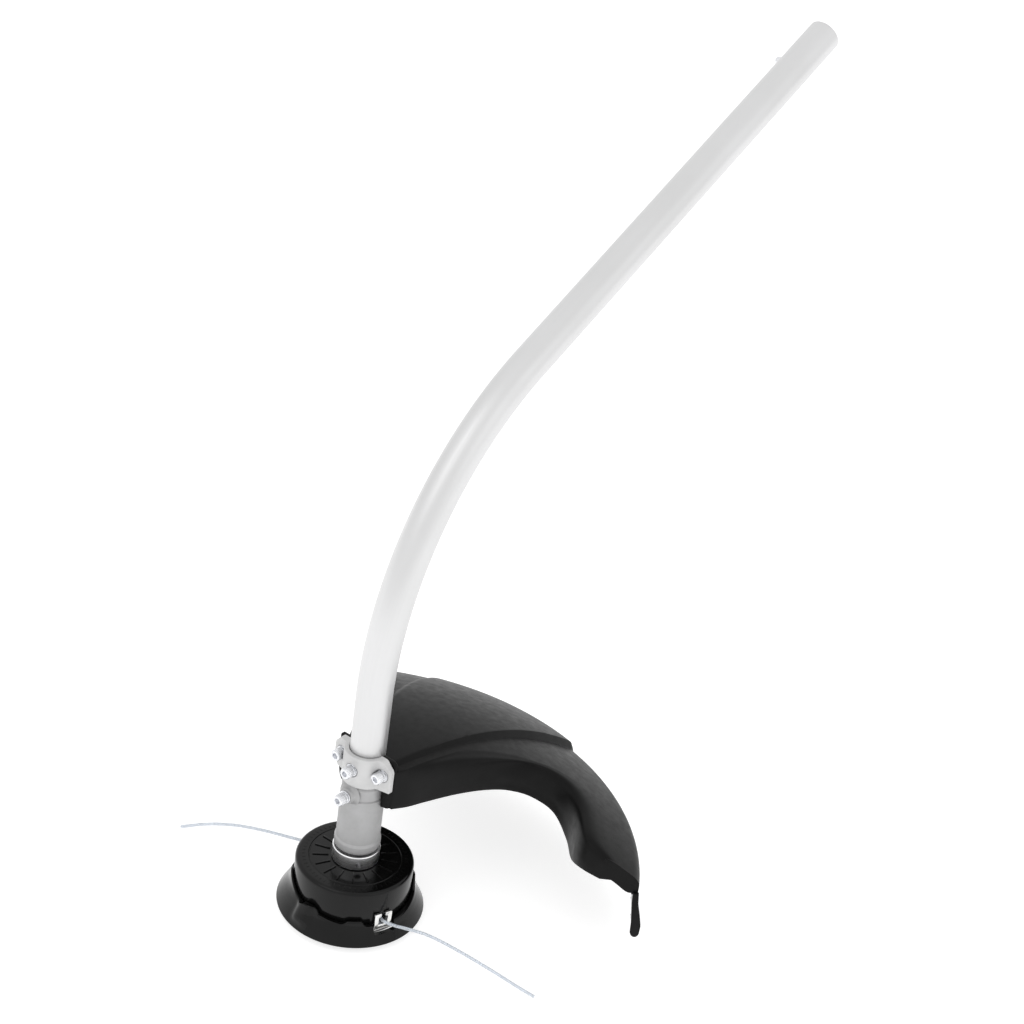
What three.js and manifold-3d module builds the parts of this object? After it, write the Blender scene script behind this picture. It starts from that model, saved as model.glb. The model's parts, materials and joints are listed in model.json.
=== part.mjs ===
// A curved-shaft string trimmer attachment, in millimetres, +Z up.
// The origin is the middle of the bump knob's flat bottom. +Z runs up the spindle of the
// cutting head, and the shaft bends towards +X, where the user stands.
import * as THREE from 'three';
import { mergeVertices } from 'three/addons/utils/BufferGeometryUtils.js';
import Module from 'manifold-3d';

const wasm = await Module();
wasm.setup();

// ---- driving dimensions -------------------------------------------------------------

const GAP = 0.3; // left between pieces that rest on each other

const shaft = {
  outer: 13, wall: 1.5, // radii
  bottom: 80, bendStart: 187, // heights on the vertical stretch
  bendRadius: 251, bendAngle: THREE.MathUtils.degToRad(61.4), upperLength: 377.5,
};

const drive = { cable: 3.1, linerIn: 3.7, linerOut: 5.5, square: 4.9, shank: 3.2 };

const button = { fromEnd: 40, radius: 3.5, base: 9.2, top: 17.6, collar: 4.6 };

const clamp = {
  bottom: 118.5, top: 143.5, outer: 17, onTube: 13.3, onCollar: 15.05, step: 128.6,
  earFront: -4, earBack: -0.3, halfWidth: 26.2, screwY: 18.9, screwZ: 131.5, locatingFace: 15.1,
};

const housing = {
  bottom: 59.3, lipTop: 66.8, groove: 106, shoulder: 114.8, collarTop: 128,
  lip: 17, body: 16.1, neck: 15.7, collar: 14.2, bearingBore: 11.05, bossX: -19.5, bossZ: 110,
};

const bearing = { outer: 11, inner: 4.1, height: 7, lower: 62, upper: 70 };

const head = {
  radius: 43.5, top: 46, bottom: 13, wall: 2.4, edge: 3,
  skirt: 54.4, skirtBottom: 5, coverTop: 23, coverFloor: 11.2,
};

const eyelet = { angle: THREE.MathUtils.degToRad(251), z: 20.5, half: 7 };

const spool = { bottom: 12, top: 31, flange: 36, core: 19.5, bore: 17.5, shelf: 26 };

const knob = { radius: 21.5, face: 15, top: 11.6 };

const line = { radius: 1.2 };

const guard = {
  top: 136, drop: 68.3, power: 2.29, rim: 207, thick: 2.6, // the domed roof
  step: 6.5, skirt: 207, skirtTop: 57, skirtDraft: 0.15, leftAngle: 34,
  flangeBottom: 100.5, flangeTop: 142, flangeBack: 4, channel: 18.4,
};

const bolt = { shank: 2.5, head: 4.25, headHeight: 5.8, flat: 1.2, spring: 1.6 };

// ---- materials ----------------------------------------------------------------------

const material = (color, roughness, metalness) =>
  new THREE.MeshStandardMaterial({ color, roughness, metalness });

const aluminium = material('#d6d8d9', 0.4, 0.9);
const castGrey = material('#a9abac', 0.55, 0.4);
const castLight = material('#d3d5d3', 0.5, 0.4);
const steel = material('#c3c7cb', 0.25, 1);
const zinc = material('#d0d4d8', 0.3, 1);
const mattBlack = material('#2b2c2e', 0.65, 0);
const glossBlack = material('#141517', 0.2, 0);
const rubber = material('#17181a', 0.9, 0);
const nylon = material('#dfe5ea', 0.35, 0);
const innerPlastic = material('#6f7478', 0.5, 0);

// ---- geometry helpers ---------------------------------------------------------------

// A turned piece about +Z: the profile is a list of [radius, z], outside upwards.
function turned(profile, segments = 24) {
  const points = profile.map(([r, z]) => new THREE.Vector2(r, z));
  if (profile[0][0] > 0) points.push(points[0].clone());
  return new THREE.LatheGeometry(points, segments).rotateX(Math.PI / 2);
}

function ring(inner, outer, low, high, segments = 24) {
  return turned([[outer, low], [outer, high], [inner, high], [inner, low]], segments);
}

function rod(radius, low, high, segments = 16) {
  return new THREE.CylinderGeometry(radius, radius, high - low, segments)
    .rotateX(Math.PI / 2).translate(0, 0, (low + high) / 2);
}

function box(x0, x1, y0, y1, z0, z1) {
  return new THREE.BoxGeometry(x1 - x0, y1 - y0, z1 - z0)
    .translate((x0 + x1) / 2, (y0 + y1) / 2, (z0 + z1) / 2);
}

function polygon(points) {
  return new THREE.Shape(points.map(([x, y]) => new THREE.Vector2(x, y)));
}

function extruded(shape, depth, curveSegments = 12) {
  return new THREE.ExtrudeGeometry(shape, { depth, bevelEnabled: false, curveSegments });
}

// Turns a piece made along +Z so that +Z points along -X, as the clamp screws do.
const facingFront = (geometry) => geometry.rotateY(-Math.PI / 2);

// A piece drawn in the YZ plane (as x = y, y = z) and extruded from x0 to x1.
function plateAcrossX(shape, x0, x1) {
  return extruded(shape, x1 - x0).rotateX(Math.PI / 2).rotateZ(Math.PI / 2).translate(x0, 0, 0);
}

function toSolid(geometry) {
  const bare = new THREE.BufferGeometry().setAttribute('position', geometry.attributes.position.clone());
  bare.setIndex(geometry.index ? geometry.index.clone() : null);
  const merged = mergeVertices(bare, 1e-4);
  const corners = merged.index.array;
  const kept = [];
  for (let i = 0; i < corners.length; i += 3) {
    const [a, b, c] = [corners[i], corners[i + 1], corners[i + 2]];
    if (a !== b && b !== c && a !== c) kept.push(a, b, c);
  }
  return new wasm.Manifold(new wasm.Mesh({
    numProp: 3,
    vertProperties: Float32Array.from(merged.attributes.position.array),
    triVerts: Uint32Array.from(kept),
  }));
}

function toGeometry(solid) {
  const mesh = solid.getMesh();
  const geometry = new THREE.BufferGeometry();
  geometry.setAttribute('position', new THREE.BufferAttribute(Float32Array.from(mesh.vertProperties), 3));
  geometry.setIndex(new THREE.BufferAttribute(Uint32Array.from(mesh.triVerts), 1));
  geometry.computeVertexNormals();
  return geometry;
}

function cut(base, ...tools) {
  return toGeometry(tools.reduce((solid, tool) => solid.subtract(toSolid(tool)), toSolid(base)));
}

function join(base, ...others) {
  return toGeometry(others.reduce((solid, other) => solid.add(toSolid(other)), toSolid(base)));
}

const model = new THREE.Group();

function add(name, geometry, look, parent = model) {
  const mesh = new THREE.Mesh(geometry, look);
  mesh.name = name;
  parent.add(mesh);
  return mesh;
}

// ---- the bent shaft -----------------------------------------------------------------

// Up the vertical stretch, round the bend and along the upper stretch. The stations are
// the two straight ends and even steps of the bend, so straight stretches stay plain.
class ShaftPath extends THREE.Curve {
  constructor(bottom, upperLength, bendSteps) {
    super();
    this.bottom = bottom;
    this.upperLength = upperLength;
    this.bendSteps = bendSteps;
    this.steps = bendSteps + 2;
  }

  place(t) {
    const station = t * this.steps;
    const { bendStart, bendRadius, bendAngle } = shaft;
    const turn = THREE.MathUtils.clamp((station - 1) / this.bendSteps, 0, 1) * bendAngle;
    const tangent = new THREE.Vector3(Math.sin(turn), 0, Math.cos(turn));
    const point = new THREE.Vector3(
      bendRadius * (1 - Math.cos(turn)), 0, bendStart + bendRadius * Math.sin(turn));
    if (station < 1) point.z = THREE.MathUtils.lerp(this.bottom, bendStart, station);
    const beyond = Math.max(0, station - 1 - this.bendSteps);
    point.addScaledVector(tangent, beyond * this.upperLength);
    return { point, tangent };
  }

  getPoint(t) { return this.place(t).point; }
  getPointAt(t) { return this.place(t).point; }
  getTangent(t) { return this.place(t).tangent; }
  getTangentAt(t) { return this.place(t).tangent; }
}

function alongShaft(outer, inner, bottom, upperLength, sides, bendSteps) {
  const path = new ShaftPath(bottom, upperLength, bendSteps);
  const circle = (radius) => Array.from({ length: sides }, (_, i) => {
    const angle = (2 * Math.PI * i) / sides;
    return new THREE.Vector2(radius * Math.cos(angle), radius * Math.sin(angle));
  });
  const shape = new THREE.Shape(circle(outer));
  if (inner > 0) shape.holes.push(new THREE.Path(circle(inner).reverse()));
  return new THREE.ExtrudeGeometry(shape, { steps: path.steps, extrudePath: path });
}

// Pieces in the shaft's open end are made in its own frame: z = 0 at the end, +z out of it.
const shaftEnd = new ShaftPath(shaft.bottom, shaft.upperLength, 1).getPoint(1);
const upperEnd = new THREE.Group();
upperEnd.position.copy(shaftEnd);
upperEnd.rotation.y = shaft.bendAngle;
upperEnd.updateMatrix();
model.add(upperEnd);

function shaftTube() {
  const tube = alongShaft(shaft.outer, shaft.outer - shaft.wall, shaft.bottom, shaft.upperLength, 24, 12);
  const buttonHole = rod(button.radius + 0.5, 8, 20, 16).rotateX(-Math.PI / 2)
    .translate(0, 0, -button.fromEnd).applyMatrix4(upperEnd.matrix);
  const screwHole = (z) => facingFront(rod(bolt.shank + 0.3, 8, 20, 16)).translate(0, 0, z);
  return cut(tube, buttonHole, screwHole(clamp.screwZ), screwHole(housing.bossZ));
}

add('shaft_tube', shaftTube(), aluminium);

const bushing = { top: -72, bottom: -96 };
const shaftBore = shaft.outer - shaft.wall;
add('upper_bushing', ring(drive.shank + 0.35, shaftBore - 0.4, bushing.bottom, bushing.top), innerPlastic,
  upperEnd);

const cableTop = shaft.upperLength + bushing.bottom;
add('flexible_drive_shaft', alongShaft(drive.cable, 0, 104.3, cableTop - GAP, 10, 10), steel);
add('drive_shaft_liner', alongShaft(drive.linerOut, drive.linerIn, 106, cableTop - 1, 12, 10), nylon);
add('liner_bushing', ring(drive.linerOut + 0.2, shaftBore - 0.3, 114.5, 126), innerPlastic);

// The upper drive end: a square that the power unit's socket turns, on a round shank.
function squareBar(side, low, high) {
  return box(-side / 2, side / 2, -side / 2, side / 2, low, high);
}

add('drive_end_upper',
  join(squareBar(drive.square, -36.2, -18), rod(drive.shank, bushing.bottom, -36)), steel, upperEnd);

// The spring button that latches the shaft into the power unit's coupling.
function detentButton() {
  const { radius, base, top, collar } = button;
  const profile = [[0, base], [collar, base], [collar, base + 1], [radius, base + 1], [radius, top - 2],
    [radius * 0.8, top - 0.6], [0, top]];
  return turned(profile, 16).rotateX(-Math.PI / 2).translate(0, 0, -button.fromEnd);
}

add('detent_button', detentButton(), zinc, upperEnd);

function buttonLeaf() {
  const low = button.base - GAP;
  const side = polygon([[-71.5, 9.6], [-68, 9.6], [-62, low], [-36, low], [-36, low - 0.7],
    [-62.4, low - 0.7], [-68.4, 8.9], [-71.5, 8.9]]);
  return extruded(side, 5).translate(0, 0, -2.5).rotateY(-Math.PI / 2);
}

add('button_leaf_spring', buttonLeaf(), steel, upperEnd);

// ---- bearing housing and output spindle ---------------------------------------------

function bearingHousing() {
  const { bottom, lipTop, groove, shoulder, collarTop } = housing;
  const { lip, body, neck, collar, bearingBore, bossX, bossZ } = housing;
  const socket = shaft.outer + 0.15;
  const shell = turned([
    [lip - 0.8, bottom], [lip, bottom + 1.6], [lip, lipTop - 1.2], [body, lipTop + 0.6],
    [body, groove - 0.6], [neck - 0.5, groove], [neck, groove + 0.6], [neck, shoulder],
    [collar, shoulder + 2.6], [collar, collarTop], [socket, collarTop],
    [socket, shaft.bottom - 0.4], [7.5, shaft.bottom - 0.4], [7.5, 77.4], [bearingBore, 77.4],
    [bearingBore, bottom],
  ], 32);
  const boss = facingFront(rod(6, 13.6, -bossX, 20)).translate(0, 0, bossZ);
  const hole = facingFront(rod(bolt.shank + 0.2, 8, 30, 16)).translate(0, 0, bossZ);
  return cut(join(shell, boss), hole);
}

add('bearing_housing', bearingHousing(), castGrey);

for (const end of ['lower', 'upper']) {
  const low = bearing[end];
  add(`bearing_${end}`, ring(bearing.inner, bearing.outer, low, low + bearing.height - 0.1), steel);
}

function circlip() {
  const opening = 0.35;
  const shape = new THREE.Shape();
  shape.absarc(0, 0, 10.9, opening, 2 * Math.PI - opening, false);
  shape.absarc(0, 0, 9.1, 2 * Math.PI - opening, opening, true);
  return extruded(shape, 1.1, 14).translate(0, 0, 60.7);
}

add('bearing_circlip', circlip(), steel);

function arbor() {
  const body = turned([[0, 31], [4, 31], [4, 77.3], [5.2, 77.3], [5.2, 92], [0, 92]]);
  return cut(body, squareBar(5.3, 81, 93));
}

add('arbor', arbor(), steel);
add('drive_end_lower', join(squareBar(drive.square, 81.4, 92.4), rod(4.2, 92.3, 104, 16)), steel);

// The steel collar under the housing, with a radial hole for a locking pin.
function arborCollar() {
  const body = turned([
    [16.8, 46.3], [17.5, 47], [17.5, 56.9], [16.9, 57.5], [6.2, 57.5], [6.2, 61.6], [4.1, 61.6],
    [4.1, 46.3],
  ], 32);
  const pinHole = rod(2.4, 10, 20, 16).rotateY(Math.PI / 2).rotateZ(THREE.MathUtils.degToRad(228.5))
    .translate(0, 0, 51.4);
  return cut(body, pinHole);
}

add('arbor_collar', arborCollar(), steel);

// ---- clamp between shaft, housing and guard -----------------------------------------

// The front half of the clamp: a half barrel with an ear on each side. Its upper bore
// grips the shaft and its lower bore goes over the housing's collar.
function saddle() {
  const { bottom, top, outer, onTube, onCollar, step } = clamp;
  const { earFront, earBack, halfWidth, screwY, screwZ } = clamp;
  const frontAngle = Math.acos(earFront / outer);
  const backAngle = Math.acos(earBack / onTube);
  const plan = new THREE.Shape();
  plan.moveTo(earFront, halfWidth);
  plan.absarc(0, 0, outer, frontAngle, 2 * Math.PI - frontAngle, false);
  plan.lineTo(earFront, -halfWidth);
  plan.lineTo(earBack, -halfWidth);
  plan.absarc(0, 0, onTube, 2 * Math.PI - backAngle, backAngle, true);
  plan.lineTo(earBack, halfWidth);
  const barrel = extruded(plan, top - bottom, 12).translate(0, 0, bottom);
  const face = polygon([
    [-halfWidth, bottom], [halfWidth - 5, bottom], [halfWidth, bottom + 5], [halfWidth, top - 6],
    [halfWidth - 5, top], [-halfWidth + 8, top], [-halfWidth + 2.4, top - 2.4], [-halfWidth, top - 8],
  ]);
  const outline = plateAcrossX(face, -outer - 1, 1);
  const shaped = toSolid(barrel).intersect(toSolid(outline));
  const holeAt = (y) => facingFront(rod(bolt.shank + 0.2, -5, 30, 16)).translate(0, y, screwZ);
  const spotFaces = [-1, 1].map((sign) =>
    facingFront(rod(5.2, -earFront, outer, 20)).translate(0, sign * screwY, screwZ));
  spotFaces.push(facingFront(rod(5.2, clamp.locatingFace, outer + 1, 20)).translate(0, 0, screwZ));
  return cut(toGeometry(shaped), rod(onCollar, bottom - 1, step, 32), holeAt(-screwY), holeAt(0),
    holeAt(screwY), ...spotFaces);
}

add('saddle_bracket', saddle(), castLight);
add('clamp_liner', ring(14.35, 14.9, clamp.bottom - 0.7, housing.collarTop, 32), rubber);

// A socket-head screw along +Z: z = 0 is the bearing face of its head.
function socketScrew(length) {
  const { shank, head: radius, headHeight } = bolt;
  return turned([
    [0, -length], [shank, -length], [shank, 0], [radius, 0], [radius, headHeight - 0.5],
    [radius - 0.5, headHeight], [radius * 0.52, headHeight], [radius * 0.52, headHeight * 0.5],
    [0, headHeight * 0.45],
  ], 12);
}

function springWasher() {
  const opening = 0.12;
  const shape = new THREE.Shape();
  shape.absarc(0, 0, 4.3, opening, 2 * Math.PI - opening, false);
  shape.absarc(0, 0, 2.7, 2 * Math.PI - opening, opening, true);
  return extruded(shape, bolt.spring - 0.1, 9);
}

// Flat washer, spring washer and screw, stacked outwards from a face at the given x.
function fastener(name, face, y, z, length) {
  const stack = [
    [`${name}_washer`, ring(2.7, 4.8, 0, bolt.flat, 12), face - 0.1],
    [`${name}_spring_washer`, springWasher(), face - 0.2 - bolt.flat],
    [`${name}_screw`, socketScrew(length), face - 0.2 - bolt.flat - bolt.spring],
  ];
  for (const [piece, geometry, x] of stack) {
    add(piece, facingFront(geometry).translate(x, y, z), zinc);
  }
}

fastener('ear_right', clamp.earFront, -clamp.screwY, clamp.screwZ, 14.5);
fastener('ear_left', clamp.earFront, clamp.screwY, clamp.screwZ, 14.5);
fastener('locating', -clamp.locatingFace, 0, clamp.screwZ, 6);
fastener('housing', housing.bossX, 0, housing.bossZ, 11);

function hexNut(acrossFlats, bore, height) {
  const corner = acrossFlats / 2 / Math.cos(Math.PI / 6);
  const points = Array.from({ length: 6 }, (_, i) => [
    corner * Math.cos((i * Math.PI) / 3), corner * Math.sin((i * Math.PI) / 3)]);
  const shape = polygon(points);
  shape.holes.push(new THREE.Path().absarc(0, 0, bore, 0, 2 * Math.PI, true));
  return extruded(shape, height, 6);
}

for (const [side, sign] of [['right', -1], ['left', 1]]) {
  const nut = facingFront(hexNut(8, bolt.shank + 0.1, 4));
  nut.translate(guard.flangeBack + 4.15, sign * clamp.screwY, clamp.screwZ);
  add(`ear_${side}_nut`, nut, zinc);
}

// ---- guard --------------------------------------------------------------------------

const roofHeight = (x, y) => guard.top - guard.drop * (Math.hypot(x, y) / guard.rim) ** guard.power;

// Stations along the guard's inner edge, from its left end to its cutter end: a point of the
// edge (x, y), the angle on the rim that it joins (degrees), the height of the foot of the
// wall that hangs from it, how far the wall's top corner is cut back, and the share of the
// raised panel's step that lifts the roof there.
const stations = [
  { x: 0.6, y: 20, rim: guard.leftAngle, foot: 112, corner: 1.5, raised: 0.65 },
  { x: 0.6, y: 16.8, rim: 23.7, foot: 104, corner: 1.5, raised: 0.65 },
  { x: 0.6, y: 15.8, rim: 22.3, foot: 104, corner: 1.5, raised: 1 },
  { x: 0.6, y: 8, rim: 15, foot: 104, corner: 1.5, raised: 1 },
  { x: 0.6, y: 0, rim: 7, foot: 104, corner: 1.5, raised: 1 },
  { x: 0.6, y: -8, rim: -2, foot: 104, corner: 1.5, raised: 1 },
  { x: 0.6, y: -19, rim: -12.2, foot: 104, corner: 1.5, raised: 1 },
  { x: 0.6, y: -21.5, rim: -13.8, foot: 103.5, corner: 1.5, raised: 0 },
  { x: 0.6, y: -26.2, rim: -15.5, foot: 103, corner: 3, raised: 0 },
  { x: 26, y: -36, rim: -18, foot: 101.6, corner: 6, raised: 0 },
  { x: 52, y: -45, rim: -22, foot: 100.6, corner: 7, raised: 0 },
  { x: 77, y: -53, rim: -27, foot: 96.2, corner: 7, raised: 0 },
  { x: 98, y: -59.5, rim: -31, foot: 88.8, corner: 7, raised: 0 },
  { x: 114, y: -70, rim: -35, foot: 80.5, corner: 7, raised: 0 },
  { x: 122, y: -86, rim: -39, foot: 71.3, corner: 7, raised: 0 },
  { x: 117, y: -104, rim: -44, foot: 59.5, corner: 7, raised: 0 },
  { x: 104, y: -117.5, rim: -49, foot: 58.5, corner: 7, raised: 0 },
  { x: 89, y: -134, rim: -54, foot: 67.5, corner: 6, raised: 0 },
  { x: 87, y: -143, rim: -56.5, foot: 68.7, corner: 6, raised: 0 },
  { x: 90, y: -153, rim: -58.6, foot: 66.5, corner: 5, raised: 0 },
];
const roofRows = 6; // across the roof, from the inner edge to the rim
const skirtBottom = { left: 38, cutter: 19 };
const skirtBreak = { left: 44, cutter: guard.skirtTop }; // where the end walls meet the skirt
const endWallDepth = { left: 18, cutter: 16 };

const skirtRadius = (z) => guard.skirt + Math.max(0, guard.skirtTop - z) * guard.skirtDraft;

// One open sheet of triangles, outer side up, for the roof with its walls and skirt.
function guardSheet() {
  const points = [];
  const triangles = [];
  const last = stations.length - 1;
  const point = (x, y, z) => points.push(new THREE.Vector3(x, y, z)) - 1;
  const quad = (a, b, c, d) => triangles.push([a, c, b], [a, d, c]);
  const rimPoint = (angle, z) => {
    const turn = THREE.MathUtils.degToRad(angle);
    return point(skirtRadius(z) * Math.cos(turn), skirtRadius(z) * Math.sin(turn), z);
  };
  const roof = stations.map(({ x, y, rim, corner, raised }) => {
    const turn = THREE.MathUtils.degToRad(rim);
    const [rimX, rimY] = [guard.rim * Math.cos(turn), guard.rim * Math.sin(turn)];
    const start = corner / Math.hypot(rimX - x, rimY - y);
    return Array.from({ length: roofRows + 1 }, (_, row) => {
      const along = THREE.MathUtils.lerp(start, 1, row / roofRows);
      const [px, py] = [THREE.MathUtils.lerp(x, rimX, along), THREE.MathUtils.lerp(y, rimY, along)];
      return point(px, py, roofHeight(px, py) + raised * guard.step * (0.35 + 0.65 * along));
    });
  });
  const wallTop = stations.map(({ x, y, corner, raised }) =>
    point(x, y, roofHeight(x, y) + raised * guard.step * 0.35 - corner));
  const foot = stations.map(({ x, y, foot: z }) => point(x, y, z));
  const blend = (pair, i) => THREE.MathUtils.lerp(pair.left, pair.cutter, (i / last) ** 0.6);
  const upperSkirt = stations.map(({ rim }, i) => rimPoint(rim, blend(skirtBreak, i)));
  const lowerSkirt = stations.map(({ rim }, i) => rimPoint(rim, blend(skirtBottom, i)));
  const endWall = (station, depth) => roof[station].map((corner, row) => {
    if (row === 0) return foot[station];
    if (row === roofRows) return upperSkirt[station];
    const { x, y, z } = points[corner];
    const toSkirt = z - points[upperSkirt[station]].z;
    return point(x, y, z - THREE.MathUtils.lerp(depth, toSkirt, (row / roofRows) ** 3));
  });
  const leftEdge = endWall(0, endWallDepth.left);
  const cutterEdge = endWall(last, endWallDepth.cutter);
  for (let i = 0; i < last; i++) {
    quad(foot[i], wallTop[i], wallTop[i + 1], foot[i + 1]);
    quad(wallTop[i], roof[i][0], roof[i + 1][0], wallTop[i + 1]);
    for (let row = 0; row < roofRows; row++) {
      quad(roof[i][row], roof[i][row + 1], roof[i + 1][row + 1], roof[i + 1][row]);
    }
    quad(roof[i][roofRows], upperSkirt[i], upperSkirt[i + 1], roof[i + 1][roofRows]);
    quad(upperSkirt[i], lowerSkirt[i], lowerSkirt[i + 1], upperSkirt[i + 1]);
  }
  for (let row = 0; row < roofRows; row++) {
    quad(leftEdge[row], leftEdge[row + 1], roof[0][row + 1], roof[0][row]);
    quad(roof[last][row], roof[last][row + 1], cutterEdge[row + 1], cutterEdge[row]);
  }
  triangles.push([foot[0], wallTop[0], roof[0][0]], [foot[last], roof[last][0], wallTop[last]]);
  return { points, triangles };
}

// Thickens an open sheet inwards into one closed shell.
function shellOf({ points, triangles }, thickness) {
  const flats = triangles.map(([a, b, c]) => new THREE.Vector3()
    .crossVectors(points[b].clone().sub(points[a]), points[c].clone().sub(points[a])));
  const around = points.map(() => []);
  triangles.forEach((corners, i) => {
    if (flats[i].length() > 1e-6) corners.forEach((corner) => around[corner].push(flats[i]));
  });
  const inner = points.map((start, i) => {
    const normal = around[i].reduce((sum, flat) => sum.add(flat.clone().normalize()), new THREE.Vector3());
    normal.normalize();
    const squarest = Math.min(...around[i].map((flat) => flat.clone().normalize().dot(normal)));
    return start.clone().addScaledVector(normal, -thickness / Math.max(squarest, 0.62));
  });
  const all = [...points, ...inner];
  const count = points.length;
  const solid = [];
  const open = new Map();
  for (const [a, b, c] of triangles) {
    if (a === b || b === c || a === c) continue;
    solid.push(a, b, c, a + count, c + count, b + count);
    for (const [from, to] of [[a, b], [b, c], [c, a]]) {
      if (open.has(`${to}_${from}`)) open.delete(`${to}_${from}`);
      else open.set(`${from}_${to}`, [from, to]);
    }
  }
  for (const [from, to] of open.values()) {
    solid.push(to, from, from + count, to, from + count, to + count);
  }
  const geometry = new THREE.BufferGeometry();
  geometry.setAttribute('position', new THREE.Float32BufferAttribute(all.flatMap((p) => p.toArray()), 3));
  geometry.setIndex(solid);
  return geometry;
}

// The line cutter lies against the skirt's inner face near the skirt's end. Its pieces are
// made in the frame of that face: x = 0 on the skirt's outer face and +x outwards.
const cutter = {
  angle: THREE.MathUtils.degToRad(-56.6), z: 40, outer: -3.5, thick: 1.6,
  edge: -6.2, reach: 11, bottom: -20, top: 14, screwY: 3, screwZ: [-12, 4],
};
const onSkirt = new THREE.Matrix4().makeRotationZ(cutter.angle)
  .multiply(new THREE.Matrix4().makeTranslation(skirtRadius(cutter.z), 0, cutter.z))
  .multiply(new THREE.Matrix4().makeRotationY(-Math.atan(guard.skirtDraft)));

// A countersunk screw from outside, or the room for it when grown by a clearance.
function countersunk(clearance, tip) {
  const [head, shank] = [3.6 + clearance, 1.9 + clearance];
  const profile = [[0, tip], [shank, tip], [shank, -1.9], [head, -0.2], [head, clearance], [0, clearance]];
  return turned(profile, 12).rotateY(Math.PI / 2);
}

const atCutterScrews = (geometry) =>
  cutter.screwZ.map((z) => geometry.clone().translate(0, cutter.screwY, z));

function guardFlange() {
  const { flangeBottom: low, flangeTop: high, flangeBack, channel } = guard;
  const width = clamp.halfWidth;
  const plate = plateAcrossX(polygon([
    [-width, low + 7], [-width + 2, low + 2.5], [-width + 7, low],
    [width - 7, low + 14], [width, low + 20],
    [width, high - 5], [width - 5, high], [-width + 5, high], [-width, high - 5],
  ]), 0.3, flangeBack);
  const frontHalf = box(-30, 0.3, -30, 30, 90, 150);
  return [plate, cut(rod(channel, low, high - 4, 36), frontHalf)];
}

// The thick rounded end of the skirt, which hides the blade's end: [radius, z].
function skirtEnd() {
  const side = polygon([
    [203.3, 58], [203.6, 50], [206, 30], [206.4, 22], [208, 18.8], [211.4, 18.4], [213.2, 21.5],
    [213.4, 29], [211.6, 38], [208.8, 48], [208, 58],
  ]);
  return extruded(side, 3).rotateX(Math.PI / 2).translate(0, -6.6, 0).rotateZ(cutter.angle);
}

function guardBody() {
  const shell = shellOf(guardSheet(), guard.thick);
  const bores = [
    rod(clamp.onTube + 0.1, 80, 200, 36), rod(clamp.onCollar + 0.2, 80, clamp.step, 36),
    rod(housing.body + 0.5, 80, clamp.bottom - GAP, 36),
  ];
  const holes = [-1, 1].flatMap((sign) => [
    rod(bolt.shank + 0.2, -8, 8, 16), rod(4.9, -14, -guard.flangeBack, 12),
  ].map((hole) => facingFront(hole).translate(0, sign * clamp.screwY, clamp.screwZ)));
  const screwRoom = atCutterScrews(countersunk(0.3, -8)).map((room) => room.applyMatrix4(onSkirt));
  return cut(join(shell, ...guardFlange(), skirtEnd()), ...bores, ...holes, ...screwRoom);
}

add('guard', guardBody(), mattBlack);

// The steel blade that trims the line to length, screwed inside the end of the skirt.
function lineCutter() {
  const { outer, thick, edge, reach, bottom, top } = cutter;
  const blade = plateAcrossX(polygon([
    [edge, bottom + 5], [edge + 4, bottom], [reach, bottom], [reach, top], [edge, top],
  ]), outer - thick, outer);
  const holes = atCutterScrews(rod(2.2, -8, 0, 12).rotateY(Math.PI / 2));
  return cut(blade, ...holes).applyMatrix4(onSkirt);
}

add('line_cutter', lineCutter(), steel);
atCutterScrews(countersunk(0, cutter.outer - cutter.thick - 0.4)).forEach((screw, i) => {
  add(`line_cutter_screw_${i + 1}`, screw.applyMatrix4(onSkirt), zinc);
});

// ---- cutting head -------------------------------------------------------------------

// Places a piece, made on the +X side, at one of the two line exits.
const exits = [['right', eyelet.angle], ['left', eyelet.angle - Math.PI]];
const atExit = (geometry, angle) => geometry.rotateZ(angle);

function headHousing() {
  const { radius, top, bottom, wall, edge } = head;
  const inside = radius - wall;
  const drum = turned([
    [radius, bottom], [radius, top - edge], [radius - edge * 0.3, top - edge * 0.3], [radius - edge, top],
    [4.3, top], [4.3, 38], [12, 38], [12, top - wall], [inside, top - wall], [inside, bottom],
  ], 40);
  const windows = exits.map(([, angle]) =>
    atExit(box(30, 50, -5.4, 5.4, eyelet.z - 5.4, eyelet.z + 5.4), angle));
  return cut(drum, ...windows);
}

add('head_housing', headHousing(), glossBlack);

function lowerCover() {
  const { skirt, skirtBottom: rim, coverTop, coverFloor, radius } = head;
  const bore = radius + 0.7;
  const opening = knob.radius + 0.8;
  const cover = turned([
    [skirt - 0.4, rim], [skirt, rim + 1.3], [skirt - 1.8, rim + 4.6], [skirt - 4.8, rim + 10],
    [skirt - 7.2, rim + 15], [bore + 1.4, coverTop], [bore, coverTop], [bore, coverFloor],
    [opening, coverFloor], [opening, coverFloor - 2.8], [bore - 1, coverFloor - 2.8],
    [bore + 1.2, rim + 14], [skirt - 4.6, rim + 3.4], [skirt - 2.8, rim],
  ], 40);
  const notches = exits.map(([, angle]) =>
    atExit(box(40, 60, -8.5, 8.5, eyelet.z - eyelet.half - 0.5, 40), angle));
  return cut(cover, ...notches);
}

add('lower_cover', lowerCover(), glossBlack);

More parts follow.
